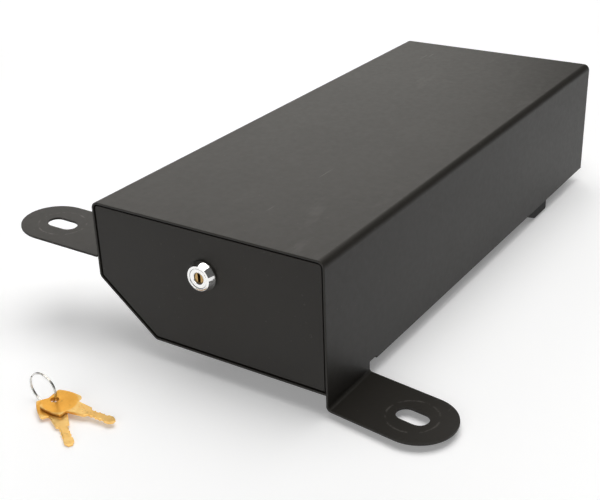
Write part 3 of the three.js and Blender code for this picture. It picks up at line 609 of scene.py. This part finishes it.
def glide_plastic():
    """Natural slippery plastic, rubbed along the drawer's travel."""
    tree = Tree("glide_plastic")
    tone = tree.remap(tree.noise(40, 3), 0.3, 0.7)
    colour = tree.mix(tone, (0.40, 0.40, 0.37), (0.50, 0.49, 0.46))
    scratches = tree.noise(900, 3, 0.6, (1, 0.02, 1))
    dirt = tree.math("MULTIPLY", tree.remap(scratches, 0.55, 0.7), 0.5)
    tree.link(tree.mix(dirt, colour, (0.16, 0.155, 0.15)), "Base Color")
    tree.link(tree.remap(scratches, 0.3, 0.7, 0.32, 0.5), "Roughness")
    tree.link(tree.bump(scratches, 0.01 * MM, 0.5), "Normal")
    return tree.material


def rubber():
    """Matt black moulded rubber with a dusty bloom."""
    tree = Tree("bumper_rubber")
    bloom = tree.remap(tree.noise(120, 4), 0.4, 0.75)
    tree.link(tree.mix(bloom, (0.013, 0.013, 0.013), (0.038, 0.037, 0.036)), "Base Color")
    tree.link(tree.remap(tree.noise(300, 3), 0.3, 0.7, 0.7, 0.9), "Roughness")
    tree.link(tree.bump(tree.noise(1800, 2), 0.02 * MM, 0.5), "Normal")
    return tree.material


def felt():
    """Charcoal felt on foam: matted fibres with lighter flecks."""
    tree = Tree("liner_foam")
    clumps = tree.noise(260, 5, 0.7)
    colour = tree.mix(tree.remap(clumps, 0.35, 0.65), (0.045, 0.045, 0.049), (0.095, 0.095, 0.1))
    fleck = tree.math("MULTIPLY", tree.remap(tree.noise(1400, 2, 0.6, (1, 0.3, 1)), 0.64, 0.74), 0.5)
    tree.link(tree.mix(fleck, colour, (0.2, 0.2, 0.205)), "Base Color")
    tree.link(tree.remap(clumps, 0.3, 0.7, 0.9, 1.0), "Roughness")
    fibres = tree.bump(tree.noise(1900, 4, 0.7), 0.12 * MM, 0.8)
    tree.link(tree.bump(clumps, 0.25 * MM, 0.5, fibres), "Normal")
    tree.set(Sheen_Weight=0.25, Sheen_Roughness=0.5)
    return tree.material


# ---- Sleeve ----
def slot_outline(out, middle):
    """A bolt slot in a tab's own axes: outwards from the wall, and along the wall."""
    end = SLOT_WIDTH / 2
    half = SLOT_LENGTH / 2 - end
    right = arc((out + half, middle), end, -math.pi / 2, math.pi / 2, SLOT_ARC_STEPS)
    left = arc((out - half, middle), end, math.pi / 2, 3 * math.pi / 2, SLOT_ARC_STEPS)
    return right + left


def swept(points, turn, shift):
    """A tab's own outline, turned to its sweep and moved to the wall."""
    turned = Matrix.Rotation(turn, 2)
    return [turned @ p + shift for p in points]


def right_tab():
    """The fold under the wall, and the flat tab with its slot."""
    bend = Vector((RIGHT + TAB_BEND, TAB_BEND - TAB_DROP))
    outer = arc(bend, TAB_BEND + SHEET, math.pi, 1.5 * math.pi)
    inner = arc(bend, TAB_BEND, 1.5 * math.pi, math.pi)
    fold = corners((RIGHT - SHEET, 0)) + outer + inner + corners((RIGHT, 0))
    leg = prism("leg", fold, [], FRONT, FRONT + TAB_SPAN)
    start = Vector((RIGHT, FRONT))
    centre = (TAB_REACH - TAB_WIDTH / 2, TAB_WIDTH / 2)
    end = arc(centre, TAB_WIDTH / 2, -math.pi / 2, math.pi / 2, END_ARC_STEPS)
    lap = bend.x - 3 * EDGE
    root = corners((lap, FRONT + TAB_SPAN), (lap, FRONT))
    outline = swept(end, -TAB_SWEEP, start) + root
    opening = hole(swept(slot_outline(TAB_SLOT_OUT, TAB_WIDTH / 2), -TAB_SWEEP, start))
    plate = prism("plate", outline, [opening], -TAB_DROP - SHEET, -TAB_DROP, UPWARD)
    return [leg, plate]


def right_skirt():
    """The right wall's lower edge, with the relief notch behind the tab."""
    relief = FRONT + TAB_SPAN
    top = RELIEF_HEIGHT - SKIRT
    outline = corners(
        (FRONT, -SKIRT),
        (relief, -SKIRT),
        (relief, top),
        (relief + RELIEF_LENGTH, top),
        (relief + RELIEF_LENGTH, -SKIRT),
        (REAR, -SKIRT),
        (REAR, BEND),
        (FRONT, BEND),
    )
    outline = rounded(outline, [0, 0, RELIEF_ROUND, RELIEF_ROUND, 0, 0, 0, 0], SMALL_ARC_STEPS)
    return prism("skirt", outline, [], RIGHT - SHEET, RIGHT, ALONG_X)


def sleeve(material):
    """The folded sleeve, with its skirt and its tab in one sheet."""
    shell = prism("shell", section(0), [hole(section(SHEET))], FRONT, REAR)
    piece = combine("sleeve", shell, [right_skirt(), *right_tab()])
    return dress(piece, "sleeve", material, "sleeve_shell")


def left_ear(material):
    """The raised ear: a flat tab that folds down on to the wall."""
    wall = -RIGHT - CONTACT
    flat_end = Vector((wall - EAR_LAP * math.cos(EAR_RISE), EAR_HEIGHT + EAR_LAP * math.sin(EAR_RISE)))
    path = [flat_end, Vector((wall, EAR_HEIGHT)), Vector((wall, CUT_UP + BEND / 2))]
    profile = strip(path[::-1], SHEET, EAR_BEND)
    low, high = FRONT + EAR_SETBACK, FRONT + TAB_SPAN - EAR_SETBACK
    flange = prism("flange", profile, [], low, high)
    centre = (EAR_REACH - TAB_WIDTH / 2, -TAB_WIDTH / 2)
    end = arc(centre, TAB_WIDTH / 2, -math.pi / 2, math.pi / 2, END_ARC_STEPS)
    step = TAB_WIDTH - EAR_SETBACK
    at_wall, at_bend = CONTACT + 2 * EDGE, CONTACT + EAR_BEND
    root = [(at_wall, 0), (at_wall, EAR_SETBACK), (at_bend, EAR_SETBACK)]
    root += [(at_bend, step), (at_wall, step), (at_wall, TAB_WIDTH)]
    slant = math.tan(TAB_SWEEP)
    outline = end + corners(*((out / math.cos(TAB_SWEEP) - y * slant, -y) for out, y in root))
    slot = hole(slot_outline(EAR_SLOT_OUT, -TAB_WIDTH / 2))
    plate = prism("ear", outline, [slot], -SHEET, 0, UPWARD)
    turn = Matrix.Rotation(EAR_RISE, 4, "Y") @ Matrix.Rotation(math.pi + TAB_SWEEP, 4, "Z")
    plate.data.transform(Matrix.Translation((-RIGHT, FRONT, EAR_HEIGHT)) @ turn)
    piece = combine("left_ear", plate, [flange])
    return dress(piece, "sleeve", material, "left_ear_bracket")


def rear_panel(material):
    """A pan whose rim points forwards inside the sleeve."""
    edge = SHEET + CONTACT
    inner = REAR - SHEET
    plate = prism("plate", section(edge), [], inner, REAR)
    rim = prism("rim", section(edge), [hole(section(edge + SHEET))], inner - REAR_FLANGE, REAR)
    piece = combine("rear_panel", plate, [rim])
    return dress(piece, "sleeve", material, "sleeve_rear_panel")


def rear_foot(material):
    """A folded channel under the floor, cut away in front of its base."""
    low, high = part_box("rear_foot")
    path = corners((low.x, low.z), (high.x, low.z), (high.x, high.z), (low.x, high.z))
    channel = prism("channel", strip(path, SHEET, 2 * SHEET), [], low.y, high.y)
    beyond = 2 * MM
    wedge = corners(
        (low.y - beyond, low.z - beyond),
        (high.y - FOOT_BASE, low.z - beyond),
        (high.y - FOOT_BASE, low.z),
        (low.y, -FOOT_FRONT_DEPTH),
        (low.y - beyond, -FOOT_FRONT_DEPTH),
    )
    tool = prism("wedge", wedge, [], low.x - beyond, high.x + beyond, ALONG_X, TOOL_EDGE)
    piece = combine("foot", channel, [tool], "DIFFERENCE")
    return dress(piece, "sleeve", material, "rear_foot")


def roof_angle(node, material):
    """A folded angle under the roof, whose leg hangs at its front."""
    low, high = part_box(node)
    path = corners((low.y, low.z), (low.y, high.z), (high.y, high.z))
    profile = strip(path[::-1], SHEET, 2 * SHEET)
    piece = prism(node + "_folded", profile, [], low.x, high.x, ALONG_X)
    return dress(piece, "sleeve", material, node)


def bumper(node, material):
    """A domed rubber button with a groove round it."""
    low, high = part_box(node)
    radius = (high.x - low.x) / 2
    origin = Vector(((low.x + high.x) / 2, high.y, (low.z + high.z) / 2))
    nose = low.y - high.y
    angles = [math.pi / 2 * i / ARC_STEPS for i in range(ARC_STEPS + 1)]
    profile = [(radius * math.sin(a), nose + BUMPER_DOME * (1 - math.cos(a))) for a in angles]
    profile += [
        (radius, -2.2 * MM),
        (radius - BUMPER_GROOVE, -1.8 * MM),
        (radius - BUMPER_GROOVE, -1.2 * MM),
        (radius, -0.8 * MM),
        (radius, -BUMPER_FOOT_ROUND),
        (radius - BUMPER_FOOT_ROUND, 0),
        (0, 0),
    ]
    piece = lathe(node + "_moulded", profile, origin, BUMPER_STEPS)
    return dress(piece, "sleeve", material, node)


def glide(node, material):
    low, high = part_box(node)
    outline = rounded(rectangle(low.x, low.y, high.x, high.y), [GLIDE_CORNER] * 4)
    piece = prism(node + "_strip", outline, [], low.z, high.z, UPWARD, GLIDE_EDGE)
    return dress(piece, "sleeve", material, node)


# ---- Drawer ----
def double_flat(radius, flat):
    """A circle with two flat sides, for a lock that must not turn in its hole."""
    angle = math.acos(flat / radius)
    upper, lower = (angle, math.pi - angle), (math.pi + angle, 2 * math.pi - angle)
    return [p for start, end in (upper, lower) for p in arc((0, 0), radius, start, end, FLATTED_ARC_STEPS)]


def drawer_front(material):
    low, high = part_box("drawer_front_panel")
    opening = shifted(double_flat(BARREL_RADIUS + CONTACT, BARREL_FLAT + CONTACT), LOCK_CENTRE)
    outline = section(SHEET + PANEL_GAP)
    piece = prism("drawer_front", outline, [hole(opening)], low.y, high.y, edge=PANEL_EDGE)
    return dress(piece, "drawer", material, "drawer_front_panel")


def tray_path():
    """The tray's outer corners, from its left lip down, under and up to its right lip."""
    low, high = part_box("drawer_tray")
    inner = offset(sleeve_corners(), SHEET + TRAY_SIDE_GAP)
    cut_top, cut_foot = inner[3], inner[4]
    run = (cut_foot.x - cut_top.x) / (cut_foot.y - cut_top.y)
    floor_cut = (cut_foot.x + run * (low.z - cut_foot.y), low.z)
    return corners(
        (low.x + TRAY_LIP, high.z),
        (low.x, high.z),
        tuple(cut_top),
        floor_cut,
        (high.x, low.z),
        (high.x, high.z),
        (high.x - TRAY_LIP, high.z),
    )


def rivet_tools():
    """A pin through each rivet's hole, for cutting it."""
    tools = []
    for rivet in RIVETS:
        low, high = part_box(rivet)
        outline = shifted(circle(RIVET_HOLE_RADIUS, 24), ((low + high) / 2).yz)
        tools.append(prism("tool", outline, [], low.x - OVERRUN, high.x + OVERRUN, ALONG_X, TOOL_EDGE))
    return tools


def drawer_tray(material):
    low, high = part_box("drawer_tray")
    tray = prism("tray", strip(tray_path(), TRAY_SHEET, TRAY_BEND), [], low.y, high.y, edge=TRAY_EDGE)
    piece = combine("drawer_tray_folded", tray, rivet_tools(), "DIFFERENCE")
    return dress(piece, "drawer", material, "drawer_tray")


def drawer_back(material):
    """The tray's rear wall: a plate inside the tray's folds, a riser between its lips, two side flanges."""
    low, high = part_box("drawer_back")
    path = tray_path()
    tray_top = path[1].y
    inner = offset([path[4], path[5], path[1], path[2], path[3]], TRAY_SHEET + CONTACT)
    right_foot, right_top, left_top, left_foot = inner[:4]
    right_top.y = left_top.y = tray_top - TRAY_SHEET - CONTACT
    face = high.y - TRAY_SHEET
    radius = TRAY_BEND - TRAY_SHEET
    plate = prism("plate", rounded(inner, [radius] * 5), [], face, high.y, edge=TRAY_EDGE)
    lip = TRAY_LIP + TRAY_SHEET
    riser = rectangle(left_top.x + lip, left_top.y - RISER_LAP, right_top.x - lip, tray_top + BACK_RISE)
    riser = rounded(riser, [0, 0, RISER_CORNER, RISER_CORNER])
    top = prism("riser", riser, [], face, high.y, edge=TRAY_EDGE)
    flanges = []
    for x, inward, foot in ((left_top.x, 1, left_foot.y), (right_top.x, -1, right_foot.y)):
        path_in = corners((x + inward * 2 * TRAY_BEND, high.y), (x, high.y), (x, low.y))
        profile = strip(path_in[::-inward], TRAY_SHEET, radius)
        upper = right_top.y - TRAY_BEND
        flanges.append(prism("flange", profile, [], foot + TRAY_BEND, upper, UPWARD, TRAY_EDGE))
    piece = combine("drawer_back_folded", plate, [top, *flanges])
    piece = combine("drawer_back_folded", piece, rivet_tools(), "DIFFERENCE")
    return dress(piece, "drawer", material, "drawer_back")


def liner(material):
    """A foam mat: edges crushed round where they were cut, corners rounded, its face gently uneven."""
    low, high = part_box("drawer_liner")
    middle, half = (low + high) / 2, (high - low) / 2
    bm = bmesh.new()
    grids = []
    for side in (-1, 1):
        grid = []
        for x in mat_rows(half.x):
            line = []
            for y in mat_rows(half.y):
                level = mat_level(x, y, half, side)
                spot = rounded_spot(x, y, half)
                line.append(bm.verts.new(middle + Vector((spot.x, spot.y, side * level))))
            grid.append(line)
        grids.append(grid)
    for grid in grids:
        for left, right in zip(grid, grid[1:]):
            for i in range(1, len(left)):
                bm.faces.new((left[i - 1], left[i], right[i], right[i - 1]))
    lower, upper = (mat_rim(grid) for grid in grids)
    for i in range(len(lower)):
        bm.faces.new((lower[i - 1], lower[i], upper[i], upper[i - 1]))
    piece = new_object("liner_mat", bm)
    dress(piece, "drawer", material, "drawer_liner")
    return piece


def mat_rows(reach):
    """Places of a grid's rows from one side to the other, close together at both crushed edges."""
    count = round((reach - MAT_EDGE) / MAT_SPACING)
    inner = [(reach - MAT_EDGE) * i / count for i in range(count)]
    positive = inner + [reach - share * MAT_EDGE for share in reversed(MAT_EDGE_ROWS)]
    return [-v for v in reversed(positive[1:])] + positive


def mat_level(x, y, half, side):
    """How far a face of the mat is from its middle: crushed at the edges, and uneven on the upper side."""
    inward = min(half.x - abs(x), half.y - abs(y))
    crush = max(0.0, 1 - inward / MAT_EDGE)
    level = half.z - MAT_EDGE * (1 - math.sqrt(1 - crush * crush))
    if side > 0:
        wave = math.sin(x * MAT_WAVES.x + 1) * math.sin(y * MAT_WAVES.y) + 1
        level -= MAT_WAVE * wave * (1 - crush)
    return level


def rounded_spot(x, y, half):
    """Moves a point of a rectangle so that the rectangle's corners become round."""
    corner = Vector((half.x - MAT_CORNER, half.y - MAT_CORNER))
    beyond = Vector((abs(x) - corner.x, abs(y) - corner.y))
    if min(beyond) <= 0:
        return Vector((x, y))
    beyond = beyond.normalized() * max(beyond)
    return Vector((math.copysign(corner.x + beyond.x, x), math.copysign(corner.y + beyond.y, y)))


def mat_rim(grid):
    """The outermost vertices of a grid, in order round it."""
    front = [line[0] for line in grid]
    back = [line[-1] for line in reversed(grid)]
    return front + grid[-1][1:-1] + back + grid[0][-2:0:-1]


# ---- Lock ----
def lock_housing(material):
    """A tapered collar on a threaded barrel with two flats, bored through."""
    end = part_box("lock_housing")[1].y - PANEL_FRONT
    face = -COLLAR_PROUD
    soft = COLLAR_SOFT
    profile = [
        (BORE_RADIUS, face + soft / 2),
        (BORE_RADIUS + soft / 2, face),
        (COLLAR_FACE_RADIUS - soft * 1.6, face),
        (COLLAR_FACE_RADIUS - soft * 0.5, face + soft * 0.4),
        (COLLAR_FACE_RADIUS, face + soft * 1.5),
        (COLLAR_RADIUS - soft * 0.2, -COLLAR_EDGE - soft),
        (COLLAR_RADIUS, -COLLAR_EDGE),
        (COLLAR_RADIUS, -CONTACT - soft * 0.5),
        (COLLAR_RADIUS - soft * 0.5, -CONTACT),
        (BARREL_RADIUS, -CONTACT),
    ]
    turns = round((end - THREAD_END) / THREAD_PITCH)
    for i in range(turns):
        y = THREAD_START + i * THREAD_PITCH
        profile += [(BARREL_RADIUS, y), (BARREL_RADIUS - THREAD_DEPTH, y + THREAD_PITCH / 2)]
    profile += [
        (BARREL_RADIUS - THREAD_DEPTH, end),
        (BORE_RADIUS, end),
        (BORE_RADIUS, face + soft / 2),
    ]
    piece = lathe("lock_barrel", profile, LOCK_ORIGIN, TURNED_STEPS, BARREL_FLAT)
    return dress(piece, "drawer", material, "lock_housing")


def lock_plug(material):
    """The part that turns: a bored round plug with a square tail, tapped for the cam's screw."""
    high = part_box("lock_plug")[1].y - PANEL_FRONT
    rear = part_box("lock_housing")[1].y - PANEL_FRONT + CONTACT
    face = -COLLAR_PROUD + PLUG_RECESS
    soft = PLUG_SOFT
    profile = [
        (0, face + KEYHOLE_DEPTH),
        (KEYHOLE_RADIUS, face + KEYHOLE_DEPTH),
        (KEYHOLE_RADIUS, face + 2 * soft),
        (KEYHOLE_RADIUS + soft, face + 0.6 * soft),
        (KEYHOLE_RADIUS + 2 * soft, face),
        (PLUG_RADIUS - 0.6 * soft, face),
        (PLUG_RADIUS, face + 0.6 * soft),
        (PLUG_RADIUS, rear - soft),
        (PLUG_RADIUS - soft, rear),
        (0, rear),
    ]
    body = lathe("plug", profile, LOCK_ORIGIN, TURNED_STEPS)
    half = TAIL / 2
    square = rounded(rectangle(-half, -half, half, half), [TAIL_ROUND] * 4, 4)
    bore = shifted(circle(SCREW_RADIUS + CONTACT, 32), LOCK_CENTRE)
    outline = shifted(square, LOCK_CENTRE)
    tail = prism("tail", outline, [hole(bore)], PANEL_FRONT + rear - OVERRUN, PANEL_FRONT + high)
    start, end = PANEL_FRONT + high - SCREW_LENGTH, PANEL_FRONT + high + OVERRUN
    tool = prism("tool", bore, [], start, end, edge=TOOL_EDGE)
    body = combine("lock_plug_turned", body, [tail])
    piece = combine("lock_plug_turned", body, [tool], "DIFFERENCE")
    return dress(piece, "lock_core", material, "lock_plug")


def plug_core(material):
    low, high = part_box("plug_core")
    core = prism("core", shifted(circle(CORE_RADIUS, 48), LOCK_CENTRE), [], low.y, high.y)
    half = Vector((KEY_SLOT_WIDTH / 2, KEY_SLOT_HEIGHT / 2))
    slot = shifted(rectangle(-half.x, -half.y, half.x, half.y), LOCK_CENTRE)
    tool = prism("tool", slot, [], low.y - OVERRUN, low.y + KEY_SLOT_DEPTH, edge=TOOL_EDGE)
    piece = combine("core_with_keyway", core, [tool], "DIFFERENCE")
    return dress(piece, "lock_core", material, "plug_core")


# ---- Keys ----
def key_side():
    """One side of a key, from its head to its tip, as x, half width and corner radius."""
    end = -KEY_HOLE_INSET
    shoulder = end + KEY_HEAD_LENGTH
    shank_end = shoulder + SHANK_LENGTH
    tip = shank_end + BLADE_LENGTH
    first, last = KEY_END_WIDTH / 2, KEY_SHOULDER_WIDTH / 2
    bulge = KEY_HEAD_WIDTH - (first + last) / 2
    side = []
    for i in range(HEAD_STEPS + 1):
        t = i / HEAD_STEPS
        half = first * (1 - t) ** 2 + 2 * bulge * t * (1 - t) + last * t * t
        side.append((end + KEY_HEAD_LENGTH * t, half, 0))
    side = [side[0][:2] + (KEY_ROUND,), *side[2:-2], side[-1][:2] + (KEY_ROUND,)]
    shank, blade = SHANK_WIDTH / 2, BLADE_WIDTH / 2
    side += [(shoulder, shank, KEY_ROUND), (shank_end, shank - SHANK_TAPER, SHANK_ROUND)]
    start = shank_end + SHANK_STEP
    step = (tip - BLADE_POINT - start) / (len(BLADE_CUT_DEPTHS) + 1)
    for i, depth in enumerate(BLADE_CUT_DEPTHS):
        x = start + i * step
        cut = [(x, blade), (x + step / 4, blade - depth), (x + 3 * step / 4, blade - depth)]
        side += [(*spot, BLADE_ROUND) for spot in cut]
    point = KEY_ROUND / 2
    side += [(tip - BLADE_POINT - step, blade, BLADE_ROUND), (tip - BLADE_POINT, blade, point)]
    return side + [(tip, BLADE_TIP_WIDTH / 2, point)]


def key_frame(name):
    """From a key's own axes, with its hole at the origin, to where it lies."""
    place = Vector(JOINTS[name + "_swing"]["pos_m"])
    tilt = Vector((0, 0, 1)).rotation_difference(KEY_PLANE)
    heading = Matrix.Rotation(KEY_HEADINGS[name], 4, "Z")
    return Matrix.Translation(place) @ tilt.to_matrix().to_4x4() @ heading


def flat_key(name, body, material):
    side = key_side()
    rows = [(x, -y, r) for x, y, r in side] + side[::-1]
    outline = rounded([Vector(row[:2]) for row in rows], [row[2] for row in rows], SMALL_ARC_STEPS)
    opening = hole(circle(KEY_HOLE_RADIUS, 40))
    piece = prism(name + "_cut", outline, [opening], -KEY / 2, KEY / 2, UPWARD, KEY_EDGE)
    piece.data.transform(key_frame(name))
    return dress(piece, body, material, name)


def squared(share):
    """Pushes a sine or cosine outwards, so that a round wire turns squarer."""
    return math.copysign(abs(share) ** WIRE_SQUARENESS, share)


def split_ring(material):
    """Two turns of flattened spring wire, side by side, that cross over once."""
    low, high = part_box("key_ring")
    centre = (low + high) / 2
    bm = bmesh.new()
    rings = []
    for i in range(RING_STEPS + 1):
        t = i / RING_STEPS
        angle = 4 * math.pi * t + RING_START
        cross = max(-1.0, min(1.0, (t - 0.5) * CROSSING_SHARPNESS))
        side = WIRE_HEIGHT * COIL_SPACING * math.sin(cross * math.pi / 2)
        radial = Vector((math.cos(angle), 0, math.sin(angle)))
        ring = []
        for k in range(WIRE_SIDES):
            turn = 2 * math.pi * k / WIRE_SIDES
            thick, tall = squared(math.cos(turn)) * WIRE_WIDTH, squared(math.sin(turn)) * WIRE_HEIGHT
            place = centre + radial * (RING_RADIUS + thick) + Vector((0, side + tall, 0))
            ring.append(bm.verts.new(place))
        rings.append(ring)
    for lower, upper in zip(rings, rings[1:]):
        for k in range(WIRE_SIDES):
            bm.faces.new((lower[k - 1], lower[k], upper[k], upper[k - 1]))
    bm.faces.new(rings[0])
    bm.faces.new(rings[-1][::-1])
    piece = new_object("split_ring", bm)
    return dress(piece, "ring", material, "key_ring")


# ---- Studio ----
def camera():
    azimuth, elevation = CAMERA_AZIMUTH, CAMERA_ELEVATION
    forward = Vector((
        -math.sin(azimuth) * math.cos(elevation),
        math.cos(azimuth) * math.cos(elevation),
        -math.sin(elevation),
    ))
    level = forward.cross(Vector((0, 0, 1))).normalized()
    right = Matrix.Rotation(CAMERA_ROLL, 3, -forward) @ level
    up = right.cross(forward)
    data = bpy.data.cameras.new("camera")
    data.lens = CAMERA_LENS
    data.sensor_width = CAMERA_SENSOR
    data.sensor_fit = "HORIZONTAL"
    data.clip_start = 0.02
    item = bpy.data.objects.new("camera", data)
    turn = Matrix((right, up, -forward)).transposed().to_4x4()
    item.matrix_world = Matrix.Translation(CAMERA_PLACE) @ turn
    bpy.context.scene.collection.objects.link(item)
    bpy.context.scene.camera = item


def floor():
    """A pale floor at the foot's underside, which glows a little where the lights don't reach."""
    bm = bmesh.new()
    bmesh.ops.create_grid(bm, x_segments=4, y_segments=4, size=STAGE_SIZE)
    bmesh.ops.translate(bm, verts=bm.verts, vec=(0, 0, GROUND - FLOOR_DROP))
    piece = new_object("floor", bm)
    tree = Tree("floor_paint")
    tone = tree.remap(tree.noise(3, 2), 0.3, 0.7)
    tree.link(tree.mix(tone, (0.865, 0.885, 0.92), (0.885, 0.905, 0.94)), "Base Color")
    tree.set(Roughness=0.8, Emission_Color=(1, 1, 1, 1))
    away = tree.distance_to((0, 0, 0))
    tree.link(tree.remap(away, FLOOR_NEAR, FLOOR_FAR, FLOOR_GLOW, FAR_GLOW), "Emission Strength")
    piece.data.materials.append(tree.material)


def backdrop():
    """A pale dome that only the camera sees, so that low views have no dark horizon."""
    bm = bmesh.new()
    bmesh.ops.create_uvsphere(bm, u_segments=48, v_segments=24, radius=STAGE_SIZE)
    piece = new_object("backdrop", bm)
    tree = Tree("backdrop_paint")
    tree.set(Base_Color=(0, 0, 0, 1), Roughness=1.0, Specular_IOR_Level=0)
    tree.set(Emission_Color=(1, 1, 1, 1), Emission_Strength=BACKDROP_GLOW)
    piece.data.materials.append(tree.material)
    piece.visible_diffuse = piece.visible_glossy = piece.visible_shadow = False


def area_light(name, place, target, size, power):
    data = bpy.data.lights.new(name, "AREA")
    data.shape = "RECTANGLE"
    data.size, data.size_y = size
    data.energy = power
    data.color = LIGHT_COLOUR
    item = bpy.data.objects.new(name, data)
    aim = (Vector(target) - Vector(place)).to_track_quat("-Z", "Y")
    item.matrix_world = Matrix.Translation(place) @ aim.to_matrix().to_4x4()
    bpy.context.scene.collection.objects.link(item)


def studio():
    world = bpy.data.worlds.new("studio")
    world.use_nodes = True
    background = world.node_tree.nodes["Background"]
    background.inputs["Color"].default_value = (1, 1, 1, 1)
    background.inputs["Strength"].default_value = WORLD_STRENGTH
    bpy.context.scene.world = world
    bpy.context.scene.view_settings.view_transform = "Standard"
    for name, (place, target, size, power) in LIGHTS.items():
        area_light(name, place, target, size, power)
    floor()
    backdrop()


def paint_nodes(material, *nodes):
    """Gives CAD nodes that stay as they are their finish."""
    for name in nodes:
        slots = frame["nodes"][name].data.materials
        slots.clear()
        slots.append(material)


def slot_centre(node, out, height):
    """The middle of a bolt slot on a tab's top face."""
    side = 1 if node == "sleeve_shell" else -1
    turned = Matrix.Rotation(-side * TAB_SWEEP, 2) @ Vector((side * out, TAB_WIDTH / 2))
    return Vector((side * RIGHT + turned.x, FRONT + turned.y, height))


def build():
    camera()
    studio()
    rise = EAR_SLOT_OUT * math.sin(EAR_RISE)
    marks = [
        slot_centre("sleeve_shell", TAB_SLOT_OUT, -TAB_DROP),
        slot_centre("left_ear_bracket", EAR_SLOT_OUT, EAR_HEIGHT + rise),
    ]
    coat = powder_coat("powder_coat", witness=marks)
    inner_coat = powder_coat("powder_coat_inner")
    sleeve(coat)
    left_ear(coat)
    rear_panel(inner_coat)
    # A darker, duller copy of the coat: painted shade for the foot, which sits in the box's shadow.
    rear_foot(powder_coat("powder_coat_foot_painted_shade", dark=0.3, gloss=0.08))
    for node in ("strike_plate", "drawer_stop_left", "drawer_stop_right"):
        roof_angle(node, inner_coat)
    drawer_front(inner_coat)
    drawer_tray(inner_coat)
    drawer_back(inner_coat)
    black_rubber = rubber()
    plastic = glide_plastic()
    for side in ("left", "right"):
        bumper("rear_bumper_" + side, black_rubber)
        glide("floor_glide_" + side, plastic)
    liner(felt())
    plate = chrome()
    lock_housing(plate)
    lock_plug(plate)
    # The core's brass is darkened as painted shade, so that the keyhole looks deeper than it is.
    plug_core(brass("core_brass_painted_shade", (0.62, 0.42, 0.18), (0.42, 0.27, 0.11)))
    for name, body in (("key_1", "upper_key"), ("key_2", "lower_key")):
        head = key_frame(name) @ Vector((KEY_HEAD_LENGTH / 2 - KEY_HOLE_INSET, 0, 0))
        flat_key(name, body, brass(name + "_brass", (1.0, 0.68, 0.26), (0.93, 0.56, 0.17), head))
    split_ring(plated("ring_steel", (0.72, 0.71, 0.68), (0.55, 0.54, 0.52), 0.2))
    zinc = plated("zinc_steel", (0.66, 0.66, 0.64), (0.5, 0.5, 0.5), 0.32)
    paint_nodes(zinc, "lock_washer", "lock_nut", "cam", "cam_washer", "cam_screw", *RIVETS)


build()
